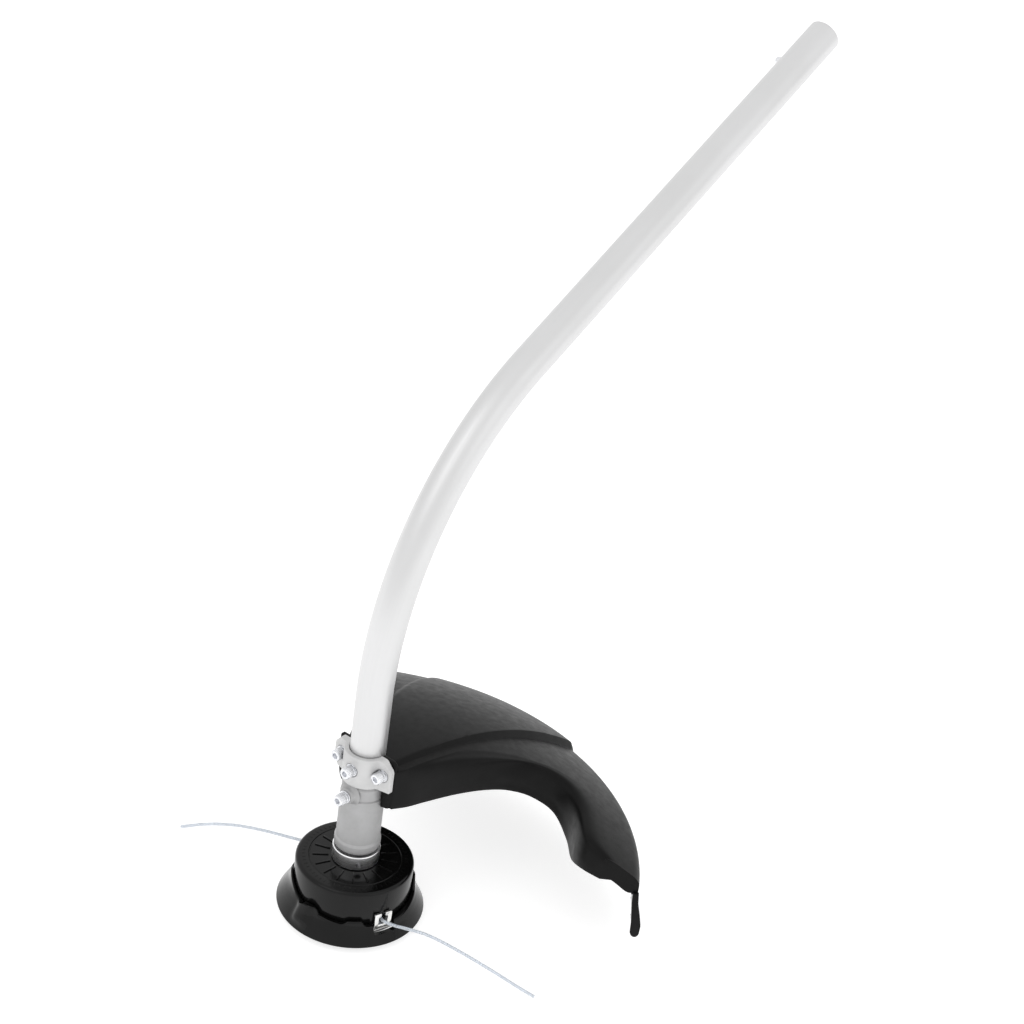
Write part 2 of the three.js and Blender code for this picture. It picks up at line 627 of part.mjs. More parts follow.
// A metal eyelet: a frame open at the top, with a sleeve into the head's window.
function lineEyelet() {
  const half = eyelet.half;
  const frame = plateAcrossX(polygon([
    [-half, -half], [half, -half], [half, half], [1.8, half], [1.8, 4.2], [4, 4.2], [4, -3.6],
    [-4, -3.6], [-4, 4.2], [-1.8, 4.2], [-1.8, half], [-half, half],
  ]), head.radius + 0.3, head.radius + 2.6);
  const sleeve = plateAcrossX(polygon([
    [-5, -5], [5, -5], [5, 4.2], [4, 4.2], [4, -3.6], [-4, -3.6], [-4, 4.2], [-5, 4.2],
  ]), head.radius - 4, head.radius + 0.5);
  return join(frame, sleeve).translate(0, 0, eyelet.z);
}

for (const [side, angle] of exits) add(`line_eyelet_${side}`, atExit(lineEyelet(), angle), zinc);

function spoolBody() {
  const { bottom, top, flange, core, bore, shelf } = spool;
  return turned([
    [flange, bottom], [flange, bottom + 2], [core, bottom + 2], [core, top - 2], [flange, top - 2],
    [flange, top], [bore, top], [bore, shelf], [8, shelf], [8, shelf - 2], [bore, shelf - 2],
    [bore, bottom],
  ], 28);
}

add('spool', spoolBody(), innerPlastic);

const windingLow = spool.bottom + 2 + GAP;
const windingHigh = spool.top - 2 - GAP;
const windingWaist = (windingLow + windingHigh) / 2;
add('wound_line', turned([
  [32, windingLow], [33.6, windingWaist], [32, windingHigh], [spool.core + GAP, windingHigh],
  [spool.core + GAP, windingLow],
], 28), nylon);

class SpringPath extends THREE.Curve {
  getPoint(t) {
    const angle = t * 2 * Math.PI * 4.5;
    const height = THREE.MathUtils.lerp(spool.shelf + 1.2, head.top - head.wall - 1.2, t);
    return new THREE.Vector3(14.6 * Math.cos(angle), 14.6 * Math.sin(angle), height);
  }
}

function bumpSpring() {
  const wire = polygon(Array.from({ length: 5 }, (_, i) => [
    0.7 * Math.cos((i * Math.PI) / 2.5), 0.7 * Math.sin((i * Math.PI) / 2.5)]));
  return new THREE.ExtrudeGeometry(wire, { steps: 50, extrudePath: new SpringPath() });
}

add('bump_spring', bumpSpring(), steel);

add('bump_knob', turned([
  [0, 0], [knob.face, 0], [knob.radius - 1.6, 2.2], [knob.radius, 6], [knob.radius, knob.top],
  [knob.radius - 3, knob.top], [knob.radius - 5.5, 4.5], [0, 3.6],
], 28), glossBlack);

add('head_nut', hexNut(13, 4.15, 5).translate(0, 0, 32.7), steel);

// ---- the two free ends of the cutting line ------------------------------------------

// Each route starts in its eyelet, sags outwards and comes to rest on the ground.
const routes = {
  right: [[-13.5, -39, 20.4], [-14.9, -43.2, 20.4], [-13, -51, 20.2], [-7.5, -61, 19.3], [-1.5, -72, 18],
    [2.5, -84, 16.4], [5.5, -96, 14.6], [8.5, -109, 12.4], [11.5, -122, 9.8], [14.5, -135, 6.9],
    [17.4, -147, 4], [20.4, -158, 1.5]],
  left: [[13.5, 39, 20.4], [14.9, 43.2, 20.4], [12.6, 51, 20.3], [9.4, 61, 19.7], [6, 72, 18.6],
    [2.6, 85, 16.8], [-1.3, 99, 14.4], [-5.8, 112.5, 11.7], [-12, 126, 8.4], [-19, 137, 5.2],
    [-28, 148, 1.5]],
};

for (const [side, route] of Object.entries(routes)) {
  const path = new THREE.CatmullRomCurve3(route.map((p) => new THREE.Vector3(...p)));
  const section = polygon(Array.from({ length: 8 }, (_, i) => [
    line.radius * Math.cos((i * Math.PI) / 4), line.radius * Math.sin((i * Math.PI) / 4)]));
  add(`line_${side}`, new THREE.ExtrudeGeometry(section, { steps: 20, extrudePath: path }), nylon);
}

export default model;
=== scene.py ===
"""The looks of a curved-shaft string trimmer attachment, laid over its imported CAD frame.

Lengths are written in millimetres and scaled by MM. +Z runs up the cutting head's spindle,
and the shaft bends towards +X.
"""
import json
import math

import bmesh
import bpy
import numpy as np
from mathutils import Matrix, Vector


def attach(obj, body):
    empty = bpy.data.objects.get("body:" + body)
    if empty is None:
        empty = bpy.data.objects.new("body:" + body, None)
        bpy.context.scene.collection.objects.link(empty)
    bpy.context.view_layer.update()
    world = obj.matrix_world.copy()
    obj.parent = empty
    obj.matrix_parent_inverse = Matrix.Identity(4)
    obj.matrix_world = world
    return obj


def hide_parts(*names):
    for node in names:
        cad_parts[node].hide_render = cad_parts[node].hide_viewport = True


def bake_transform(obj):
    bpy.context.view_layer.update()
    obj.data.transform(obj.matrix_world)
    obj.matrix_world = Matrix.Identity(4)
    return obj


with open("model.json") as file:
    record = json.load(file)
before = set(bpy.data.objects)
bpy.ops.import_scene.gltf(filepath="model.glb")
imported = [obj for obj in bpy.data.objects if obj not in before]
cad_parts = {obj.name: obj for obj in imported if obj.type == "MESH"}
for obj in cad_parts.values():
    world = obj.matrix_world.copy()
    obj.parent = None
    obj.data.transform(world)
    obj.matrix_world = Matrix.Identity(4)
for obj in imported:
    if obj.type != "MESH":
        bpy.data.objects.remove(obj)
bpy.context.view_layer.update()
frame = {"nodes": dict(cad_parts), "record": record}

MM = 0.001
radians, cos, sin, pi, tau = math.radians, math.cos, math.sin, math.pi, 2 * math.pi


# ---- camera ---------------------------------------------------------------------------

def add_camera():
    data = bpy.data.cameras.new("camera")
    data.sensor_width = 36
    data.lens = 75.41
    data.clip_end = 50
    right = Vector((0.610474, -0.781338, 0.129740))
    up = Vector((0.315494, 0.390137, 0.865018))
    back = Vector((-0.726488, -0.487139, 0.484676))
    place = Matrix((right, up, back)).transposed().to_4x4()
    place.translation = Vector((-0.987578, -0.753581, 1.035842))
    camera = bpy.data.objects.new("camera", data)
    camera.matrix_world = place
    bpy.context.scene.collection.objects.link(camera)
    bpy.context.scene.camera = camera


add_camera()


# ---- materials ------------------------------------------------------------------------

NOISE_RANGE = (0.3, 0.7)  # where most of a noise texture's values lie


class Look:
    """One procedural material on a Principled shader, built up a node at a time."""

    def __init__(self, name, roughness, metallic=0.0, ior=1.5, transmission=0.0,
                 anisotropic=0.0):
        self.material = bpy.data.materials.new(name)
        self.material.use_nodes = True
        self.tree = self.material.node_tree
        self.shader = self.tree.nodes["Principled BSDF"]
        self.place = self.node("ShaderNodeTexCoord").outputs["Object"]
        fixed = {"Roughness": roughness, "Metallic": metallic, "IOR": ior,
                 "Transmission Weight": transmission, "Anisotropic": anisotropic}
        for socket, value in fixed.items():
            self.shader.inputs[socket].default_value = value

    def node(self, kind, **settings):
        made = self.tree.nodes.new(kind)
        for key, value in settings.items():
            setattr(made, key, value)
        return made

    def link(self, source, target):
        self.tree.links.new(source, target)

    def along_uv(self):
        """Takes texture places from the mesh's UV map, which is in metres."""
        self.place = self.node("ShaderNodeUVMap", uv_map="UVMap").outputs["UV"]

    def round_axis(self):
        """Takes texture places from the distance to the spindle's axis and the height."""
        split = self.node("ShaderNodeSeparateXYZ")
        self.link(self.place, split.inputs[0])
        flat = self.node("ShaderNodeCombineXYZ")
        self.link(split.outputs["X"], flat.inputs["X"])
        self.link(split.outputs["Y"], flat.inputs["Y"])
        length = self.node("ShaderNodeVectorMath", operation="LENGTH")
        self.link(flat.outputs[0], length.inputs[0])
        turned = self.node("ShaderNodeCombineXYZ")
        self.link(length.outputs["Value"], turned.inputs["X"])
        self.link(split.outputs["Z"], turned.inputs["Z"])
        self.place = turned.outputs[0]

    def noise(self, scale, detail=3.0, stretch=(1, 1, 1)):
        """Grey noise from 0 to 1; scale is cycles per metre."""
        mapping = self.node("ShaderNodeMapping")
        mapping.inputs["Scale"].default_value = stretch
        self.link(self.place, mapping.inputs["Vector"])
        made = self.node("ShaderNodeTexNoise")
        made.inputs["Scale"].default_value = scale
        made.inputs["Detail"].default_value = detail
        self.link(mapping.outputs["Vector"], made.inputs["Vector"])
        return made.outputs["Fac"]

    def span(self, value, low, high):
        """Carries the noise's usual range over to low to high."""
        made = self.node("ShaderNodeMapRange")
        for socket, number in zip(("From Min", "From Max", "To Min", "To Max"),
                                  (*NOISE_RANGE, low, high)):
            made.inputs[socket].default_value = number
        self.link(value, made.inputs["Value"])
        return made.outputs["Result"]

    def shades(self, value, dark, light):
        ramp = self.node("ShaderNodeValToRGB")
        for stop, place, colour in zip(ramp.color_ramp.elements, NOISE_RANGE, (dark, light)):
            stop.position = place
            stop.color = (*colour, 1)
        self.link(value, ramp.inputs["Fac"])
        self.link(ramp.outputs["Color"], self.shader.inputs["Base Color"])

    def rough(self, value, low, high):
        self.link(self.span(value, low, high), self.shader.inputs["Roughness"])

    def bump(self, *layers):
        """layers are (value, height in mm), finest last."""
        normal = None
        for value, height in layers:
            made = self.node("ShaderNodeBump")
            made.inputs["Strength"].default_value = 1.0
            made.inputs["Distance"].default_value = height * MM
            self.link(value, made.inputs["Height"])
            if normal is not None:
                self.link(normal, made.inputs["Normal"])
            normal = made.outputs["Normal"]
        self.link(normal, self.shader.inputs["Normal"])


def grey(value, tint=(1.0, 1.0, 1.0)):
    return tuple(value * part for part in tint)


def satin_tube():
    look = Look("tube_aluminium", 0.4, metallic=0.88, anisotropic=0.35)
    look.along_uv()
    draw = look.noise(900, detail=4, stretch=(1, 0.02, 1))
    cloud = look.noise(14, detail=4, stretch=(1, 0.5, 1))
    look.shades(cloud, grey(0.65), grey(0.71, (1.0, 1.0, 1.008)))
    look.rough(draw, 0.36, 0.47)
    look.bump((draw, 0.012), (look.noise(2600, detail=2), 0.003))
    return look.material


def cast(name, dark, light, metallic, roughness, grain):
    look = Look(name, roughness, metallic=metallic)
    cloud = look.noise(60, detail=5)
    fine = look.noise(1500, detail=3)
    look.shades(cloud, dark, light)
    look.rough(look.noise(300, detail=4), roughness - 0.06, roughness + 0.07)
    look.bump((look.noise(220, detail=2), 0.05 * grain), (fine, 0.03 * grain))
    return look.material


def turned_metal(name, tone, low, high):
    look = Look(name, low, metallic=1.0)
    look.round_axis()
    tint = (1, 1, 1.01)
    lines = look.noise(2500, detail=4)
    look.shades(look.noise(180, detail=3), grey(tone * 0.93, tint), grey(tone, tint))
    look.rough(lines, low, high)
    look.bump((lines, 0.006))
    return look.material


def plated(name, tone, low, high, tint):
    look = Look(name, low, metallic=1.0)
    cloud = look.noise(420, detail=4)
    look.shades(cloud, grey(tone * 0.88, tint), grey(tone, tint))
    look.rough(look.noise(900, detail=3), low, high)
    look.bump((look.noise(700, detail=3), 0.012))
    return look.material


def moulded(name, dark, light, low, high, grain, swell=0.0, ior=1.49):
    """Moulded plastic: grain is the height of the tool texture, swell of slow waves in it."""
    look = Look(name, low, ior=ior)
    look.shades(look.noise(45, detail=4), dark, light)
    look.rough(look.noise(160, detail=5), low, high)
    layers = []
    if swell:
        layers.append((look.noise(38, detail=1), swell))
    layers.append((look.noise(1900, detail=3), grain))
    look.bump(*layers)
    return look.material


def monofilament():
    look = Look("line_nylon", 0.28, transmission=0.45, ior=1.53)
    look.shades(look.noise(500, detail=3), (0.66, 0.71, 0.78), (0.80, 0.84, 0.89))
    look.rough(look.noise(1400, detail=3), 0.22, 0.36)
    look.bump((look.noise(1600, detail=2), 0.015))
    return look.material


LOOKS = {
    "tube_aluminium": satin_tube(),
    "cast_grey": cast("cast_grey", grey(0.36), grey(0.41, (1, 1, 1.01)), 0.55, 0.50, 1.0),
    "cast_light": cast("cast_light", grey(0.52), grey(0.60), 0.25, 0.42, 0.6),
    "machined_steel": turned_metal("machined_steel", 0.62, 0.24, 0.36),
    "collar_steel": turned_metal("collar_steel", 0.86, 0.24, 0.36),
    "spring_steel": plated("spring_steel", 0.42, 0.28, 0.40, (1, 1, 1.02)),
    "cutter_steel": plated("cutter_steel", 0.62, 0.26, 0.40, (1, 1, 1)),
    "bright_zinc": plated("bright_zinc", 0.84, 0.14, 0.28, (0.98, 0.99, 1.02)),
    "eyelet_metal": plated("eyelet_metal", 0.86, 0.16, 0.30, (1, 0.995, 0.98)),
    "guard_plastic": moulded("guard_plastic", grey(0.004), grey(0.006), 0.36, 0.46, 0.03,
                             ior=1.2),
    "head_plastic": moulded("head_plastic", grey(0.002), grey(0.004), 0.12, 0.20, 0.004, 0.12,
                            ior=1.31),
    "knob_plastic": moulded("knob_plastic", grey(0.004), grey(0.007), 0.20, 0.32, 0.006, 0.06),
    "inner_plastic": moulded("inner_plastic", grey(0.20), grey(0.26), 0.42, 0.55, 0.02),
    "liner_nylon": moulded("liner_nylon", grey(0.60), grey(0.68, (1, 1, 0.96)), 0.38, 0.5, 0.01),
    "liner_rubber": moulded("liner_rubber", grey(0.006), grey(0.010), 0.7, 0.85, 0.03),
    "line_nylon": monofilament(),
}


# ---- the two free line ends -----------------------------------------------------------

LINE_RADIUS = 1.2
ROUTES = {
    "right": [(-13.5, -39, 20.4), (-14.9, -43.2, 20.4), (-13, -51, 20.2), (-7.5, -61, 19.3),
              (-1.5, -72, 18), (2.5, -84, 16.4), (5.5, -96, 14.6), (8.5, -109, 12.4),
              (11.5, -122, 9.8), (14.5, -135, 6.9), (17.4, -147, 4), (20.4, -158, 1.5)],
    "left": [(13.5, 39, 20.4), (14.9, 43.2, 20.4), (12.6, 51, 20.3), (9.4, 61, 19.7),
             (6, 72, 18.6), (2.6, 85, 16.8), (-1.3, 99, 14.4), (-5.8, 112.5, 11.7),
             (-12, 126, 8.4), (-19, 137, 5.2), (-28, 148, 1.5)],
}


def through(points, steps):
    """A centripetal Catmull-Rom curve through the points, with steps pieces to each span."""
    p = [Vector(q) for q in points]
    p = [2 * p[0] - p[1], *p, 2 * p[-1] - p[-2]]
    out = []
    for a, b, c, d in zip(p, p[1:], p[2:], p[3:]):
        t1 = (b - a).length ** 0.5
        t2 = t1 + (c - b).length ** 0.5
        t3 = t2 + (d - c).length ** 0.5
        for i in range(steps):
            t = t1 + (t2 - t1) * i / steps
            ab = a.lerp(b, t / t1)
            bc = b.lerp(c, (t - t1) / (t2 - t1))
            cd = c.lerp(d, (t - t2) / (t3 - t2))
            abc = ab.lerp(bc, t / t2)
            bcd = bc.lerp(cd, (t - t1) / (t3 - t1))
            out.append(abc.lerp(bcd, (t - t1) / (t2 - t1)))
    return [*out, p[-2]]


def free_line(side, route):
    curve = bpy.data.curves.new(f"line_end_{side}", "CURVE")
    curve.dimensions = "3D"
    curve.bevel_depth = LINE_RADIUS * MM
    curve.bevel_resolution = 4
    curve.use_fill_caps = True
    points = through(route, 3)
    spline = curve.splines.new("POLY")
    spline.points.add(len(points) - 1)
    for target, point in zip(spline.points, points):
        target.co = (*(point * MM), 1)
    spline.use_smooth = True
    piece = bpy.data.objects.new(f"line_end_{side}", curve)
    bpy.context.scene.collection.objects.link(piece)
    curve.materials.append(LOOKS["line_nylon"])
    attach(piece, "head")
    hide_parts(f"line_{side}")


free_line("right", ROUTES["right"])
free_line("left", ROUTES["left"])


# ---- mesh tools -----------------------------------------------------------------------

def new_object(name, points, faces):
    """A mesh object from points in millimetres."""
    mesh = bpy.data.meshes.new(name)
    mesh.from_pydata([tuple(Vector(p) * MM) for p in points], [], faces)
    made = bpy.data.objects.new(name, mesh)
    bpy.context.scene.collection.objects.link(made)
    work = bmesh.new()
    work.from_mesh(mesh)
    bmesh.ops.remove_doubles(work, verts=work.verts, dist=1e-7)
    bmesh.ops.recalc_face_normals(work, faces=work.faces)
    work.to_mesh(mesh)
    work.free()
    return made


def finish_surface(piece, slot, sharp):
    """Smooth shading that keeps edges over sharp degrees, and the slot's material."""
    for face in piece.data.polygons:
        face.use_smooth = True
    piece.data.set_sharp_from_angle(angle=radians(sharp))
    piece.data.materials.clear()
    piece.data.materials.append(LOOKS[slot])


def dress(piece, body, slot, *nodes, sharp=32):
    """A surface, the body that a piece rides on and the nodes it stands for."""
    finish_surface(piece, slot, sharp)
    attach(piece, body)
    if nodes:
        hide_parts(*nodes)


def bake(piece):
    graph = bpy.context.evaluated_depsgraph_get()
    mesh = bpy.data.meshes.new_from_object(piece.evaluated_get(graph))
    piece.modifiers.clear()
    piece.data = mesh
    return piece


def combine(piece, operation, *tools):
    for tool in tools:
        modifier = piece.modifiers.new("combine", "BOOLEAN")
        modifier.operation = operation
        modifier.solver = "MANIFOLD"
        modifier.object = tool
    bake(piece)
    for tool in tools:
        bpy.data.objects.remove(tool)
    return piece


def bevel(piece, width, segments=2, angle=32):
    modifier = piece.modifiers.new("bevel", "BEVEL")
    modifier.width = width * MM
    modifier.segments = segments
    modifier.limit_method = "ANGLE"
    modifier.angle_limit = radians(angle)
    return bake(piece)


def melt(piece, voxel, passes, factor=0.5):
    """Remakes a piece on a fine grid and softens it, so that its corners look cast."""
    remesh = piece.modifiers.new("remesh", "REMESH")
    remesh.mode = "VOXEL"
    remesh.voxel_size = voxel * MM
    soften = piece.modifiers.new("soften", "SMOOTH")
    soften.iterations = passes
    soften.factor = factor
    return bake(piece)


def move(piece, *steps):
    """Carries a piece through transforms, first one first."""
    for step in steps:
        piece.data.transform(step)
    return piece


def shift(x, y, z):
    return Matrix.Translation(Vector((x, y, z)) * MM)


def spin(degrees, axis):
    return Matrix.Rotation(radians(degrees), 4, axis)


FACING_FRONT = spin(-90, "Y")  # carries +Z to -X


def rounded(outline, radius=0.5, steps=3):
    """A closed 2-D outline with its corners rounded; a point may carry its own radius."""
    out = []
    for i, corner in enumerate(outline):
        r = corner[2] if len(corner) > 2 else radius
        b = Vector(corner[:2])
        u = Vector(outline[i - 1][:2]) - b
        v = Vector(outline[(i + 1) % len(outline)][:2]) - b
        lengths = min(u.length, v.length)
        u.normalize()
        v.normalize()
        half = u.angle(v) / 2
        if r <= 0 or half > radians(86):
            out.append(b)
            continue
        back = min(r / math.tan(half), 0.48 * lengths)
        centre = b + (u + v).normalized() * (back / cos(half))
        start, end = b + u * back - centre, b + v * back - centre
        turn = start.angle_signed(end)
        for k in range(steps + 1):
            a = -turn * k / steps
            out.append(centre + Vector((start.x * cos(a) - start.y * sin(a),
                                        start.x * sin(a) + start.y * cos(a))))
    return [tuple(p) for p in out]


def lathe(name, profile, segments=96, about=0.0):
    """Turns a profile of (radius, height) about +Z. Either may be a function of the angle.
    A profile that starts off the axis is a closed ring; otherwise it runs axis to axis."""
    closed = callable(profile[0][0]) or profile[0][0] > 1e-6
    points, rows = [], []
    for r, z in profile:
        if not callable(r) and r <= 1e-6:
            rows.append([len(points)] * segments)
            points.append((0, 0, z))
            continue
        row = []
        for k in range(segments):
            a = about + tau * k / segments
            radius = r(a) if callable(r) else r
            row.append(len(points))
            points.append((radius * cos(a), radius * sin(a), z(a) if callable(z) else z))
        rows.append(row)
    pairs = list(zip(rows, rows[1:]))
    if closed:
        pairs.append((rows[-1], rows[0]))
    faces = []
    for low, high in pairs:
        for k in range(segments):
            n = (k + 1) % segments
            face = []
            for index in (low[k], low[n], high[n], high[k]):
                if index not in face:
                    face.append(index)
            if len(face) > 2:
                faces.append(face)
    return new_object(name, points, faces)


def tube_ring(name, inner, outer, low, high, edge=0.3, segments=96):
    outline = rounded([(outer, low), (outer, high), (inner, high), (inner, low)], edge)
    return lathe(name, outline, segments)


def prism(name, outline, low, high):
    """A flat outline in XY, made solid from low to high along Z."""
    count = len(outline)
    points = [(x, y, z) for z in (low, high) for x, y in outline]
    faces = [list(range(count))[::-1], list(range(count, 2 * count))]
    faces += [[k, (k + 1) % count, (k + 1) % count + count, k + count] for k in range(count)]
    return new_object(name, points, faces)


def plate_across_x(name, outline, x0, x1):
    """An outline in YZ, made solid from x0 to x1."""
    plate = prism(name, outline, x0, x1)
    turn = Matrix(((0, 0, 1, 0), (1, 0, 0, 0), (0, 1, 0, 0), (0, 0, 0, 1)))
    return move(plate, turn)


def rod(name, radius, low, high, segments=48):
    return lathe(name, [(0, low), (radius, low), (radius, high), (0, high)], segments)


def block(name, x0, x1, y0, y1, z0, z1):
    return prism(name, [(x0, y0), (x1, y0), (x1, y1), (x0, y1)], z0, z1)


def arc(radius, start, end, steps):
    """Points on a circle about the origin, from start to end in degrees."""
    angles = [radians(start + (end - start) * k / steps) for k in range(steps + 1)]
    return [(radius * cos(a), radius * sin(a)) for a in angles]


# ---- shaft ----------------------------------------------------------------------------

SHAFT = {"outer": 13, "inner": 11.5, "bottom": 80, "bend": 187, "radius": 251, "angle": 61.4,
         "upper": 377.5}


def on_shaft(s):
    """(place, side) of the centreline at s mm from the tube's lower end."""
    turn = radians(SHAFT["angle"])
    s -= SHAFT["bend"] - SHAFT["bottom"]
    if s <= 0:
        return Vector((0, 0, SHAFT["bend"] + s)), Vector((1, 0, 0))
    a = min(s / SHAFT["radius"], turn)
    beyond = max(0, s - SHAFT["radius"] * turn)
    place = Vector((SHAFT["radius"] * (1 - cos(a)) + beyond * sin(a), 0,
                    SHAFT["bend"] + SHAFT["radius"] * sin(a) + beyond * cos(a)))
    return place, Vector((cos(a), 0, -sin(a)))


BEND_LENGTH = SHAFT["radius"] * radians(SHAFT["angle"])
SHAFT_LENGTH = SHAFT["bend"] - SHAFT["bottom"] + BEND_LENGTH + SHAFT["upper"]
SHAFT_END = Matrix.Translation(on_shaft(SHAFT_LENGTH)[0] * MM) @ spin(SHAFT["angle"], "Y")
BUTTON_BACK = 40  # from the tube's upper end to the button


def shaft_tube():
    sides = 96
    straight = SHAFT["bend"] - SHAFT["bottom"]
    stops = [0, 0.4, *np.linspace(20, straight, 5),
             *np.linspace(straight, straight + BEND_LENGTH, 61)[1:],
             *np.linspace(straight + BEND_LENGTH, SHAFT_LENGTH - 0.4, 14)[1:], SHAFT_LENGTH]
    outer = [(s, SHAFT["outer"]) for s in stops]
    inner = [(s, SHAFT["inner"]) for s in reversed(stops)]
    outer[0] = (0, SHAFT["outer"] - 0.4)
    outer[-1] = (SHAFT_LENGTH, SHAFT["outer"] - 0.4)
    inner[0] = (SHAFT_LENGTH, SHAFT["inner"] + 0.3)
    inner[-1] = (0, SHAFT["inner"] + 0.3)
    loop = outer + inner
    points, faces, places = [], [], []
    for s, r in loop:
        centre, side = on_shaft(s)
        for k in range(sides):
            a = tau * k / sides
            points.append(centre + side * r * cos(a) + Vector((0, r * sin(a), 0)))
    for i in range(len(loop)):
        j = (i + 1) % len(loop)
        for k in range(sides):
            n = (k + 1) % sides
            faces.append([i * sides + k, i * sides + n, j * sides + n, j * sides + k])
            around = [tau * c / sides * SHAFT["outer"] * MM for c in (k, k + 1, k + 1, k)]
            ends = [loop[i][0] * MM, loop[i][0] * MM, loop[j][0] * MM, loop[j][0] * MM]
            places.append(list(zip(around, ends)))
    mesh = bpy.data.meshes.new("tube")
    mesh.from_pydata([tuple(p * MM) for p in points], [], faces)
    layer = mesh.uv_layers.new(name="UVMap")
    for face, corners in zip(mesh.polygons, places):
        for loop_index, uv in zip(face.loop_indices, corners):
            layer.data[loop_index].uv = uv
    mesh.flip_normals()
    tube = bpy.data.objects.new("tube", mesh)
    bpy.context.scene.collection.objects.link(tube)
    hole = rod("button_hole", 4.1, 8, 20)
    move(hole, spin(-90, "X"), shift(0, 0, -BUTTON_BACK), SHAFT_END)
    combine(tube, "DIFFERENCE", hole)
    dress(tube, "frame", "tube_aluminium", "shaft_tube")


shaft_tube()


def detent_button():
    profile = [(0, 9.2), (4.6, 9.2), (4.6, 10.2), (3.5, 10.4), (3.5, 15.2)]
    profile += [(1.7 + 1.8 * cos(a), 15.2 + 2.2 * sin(a)) for a in np.linspace(0, pi / 2, 7)[1:]]
    profile += [(0, 17.6)]
    button = lathe("spring_button", profile, 48)
    move(button, spin(-90, "X"), shift(0, 0, -BUTTON_BACK), SHAFT_END)
    dress(button, "button", "bright_zinc", "detent_button")


detent_button()


def leaf_spring():
    """The bent strip that holds the button out."""
    low, high, drop, half = 8.9, 9.6, 0.7, 2.5
    stations = [(-71.5, 0), (-68, 0), (-65, drop / 2), (-62, drop)]
    stations += [(z, drop) for z in (-57, -52, -47, -42, -36)]
    points, faces = [], []
    for z, fall in stations:
        points += [(x, y - fall, z) for x, y in
                   ((-half, low), (half, low), (half, high), (-half, high))]
    for k in range(len(stations) - 1):
        for side in range(4):
            n = (side + 1) % 4
            faces.append([4 * k + side, 4 * k + n, 4 * k + 4 + n, 4 * k + 4 + side])
    faces += [[0, 1, 2, 3], [len(points) - 4 + side for side in range(4)]]
    leaf = bevel(new_object("leaf_spring", points, faces), 0.12, 2, 60)
    move(leaf, SHAFT_END)
    finish_surface(leaf, "spring_steel", 32)
    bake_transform(leaf)
    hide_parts("button_leaf_spring")


leaf_spring()


def upper_drive_end():
    half = 2.45
    square = prism("drive_square", rounded([(-half, -half), (half, -half), (half, half),
                                            (-half, half)], 0.35), -36.2, -18)
    bevel(square, 0.5)
    shank = lathe("drive_shank", rounded([(0, -96, 0), (3.2, -96), (3.2, -36, 0.4), (0, -36, 0)],
                                         0.3), 48)
    combine(square, "UNION", shank)
    move(square, SHAFT_END)
    dress(square, "drive_end", "machined_steel", "drive_end_upper")
    bush = tube_ring("mouth_bushing", 3.55, 11.1, -96, -72, 0.8)
    dress(move(bush, SHAFT_END), "frame", "inner_plastic", "upper_bushing")


upper_drive_end()


# ---- bearing housing and collar -------------------------------------------------------

BOSS = {"face": 19.5, "z": 110}  # the pinch screw's boss


def bearing_housing():
    outline = [
        (16.2, 59.3, 0.8), (17, 61.2, 1.2), (17, 65.6, 1.0), (16.1, 67.6, 0.6), (16.1, 105.3, 0.4),
        (15.3, 105.9, 0.1), (15.3, 106.2, 0.1), (15.7, 106.8, 0.3), (15.7, 115.4, 1.6),
        (14.2, 117.6, 0.4), (14.2, 128, 0.4), (13.15, 128), (13.15, 79.6), (7.5, 79.6),
        (7.5, 77.4), (11.05, 77.4), (11.05, 59.3, 0.4),
    ]
    body = lathe("housing_body", rounded(outline, 0.2, 4), 128)
    dress(body, "frame", "cast_grey", "bearing_housing", sharp=40)
    boss = lathe("housing_boss", [
        (2.75, 14.6), (9.2, 14.6), (7.6, 15.6), (6.6, 16.6), (6.1, 17.8), (6, 18.9), (5.7, 19.35),
        (5.3, BOSS["face"]), (2.75, BOSS["face"])], 64)
    move(boss, FACING_FRONT, shift(0, 0, BOSS["z"]))
    dress(boss, "frame", "cast_grey", sharp=40)


bearing_housing()


def arbor_collar():
    outline = [(16.9, 46.3, 0.3), (17.5, 46.8, 0.2), (17.5, 56.9, 0.2), (17.0, 57.5, 0.1),
               (16.4, 57.5, 0.2), (16.2, 57.2, 0.1), (6.2, 57.2), (6.2, 61.6), (4.1, 61.6),
               (4.1, 46.3)]
    collar = lathe("spindle_collar", rounded(outline, 0.2), 128)
    hole = rod("pin_hole", 2.4, 6.6, 20)
    move(hole, spin(90, "Y"), spin(228.5, "Z"), shift(0, 0, 51.4))
    combine(collar, "DIFFERENCE", hole)
    dress(collar, "head", "collar_steel", "arbor_collar")


arbor_collar()


# ---- clamp ----------------------------------------------------------------------------

CLAMP = {"bottom": 118.5, "top": 143.5, "outer": 17, "front": -4, "back": -0.3, "half": 26.2,
         "screw_y": 18.9, "screw_z": 131.5, "locating": 15.1}


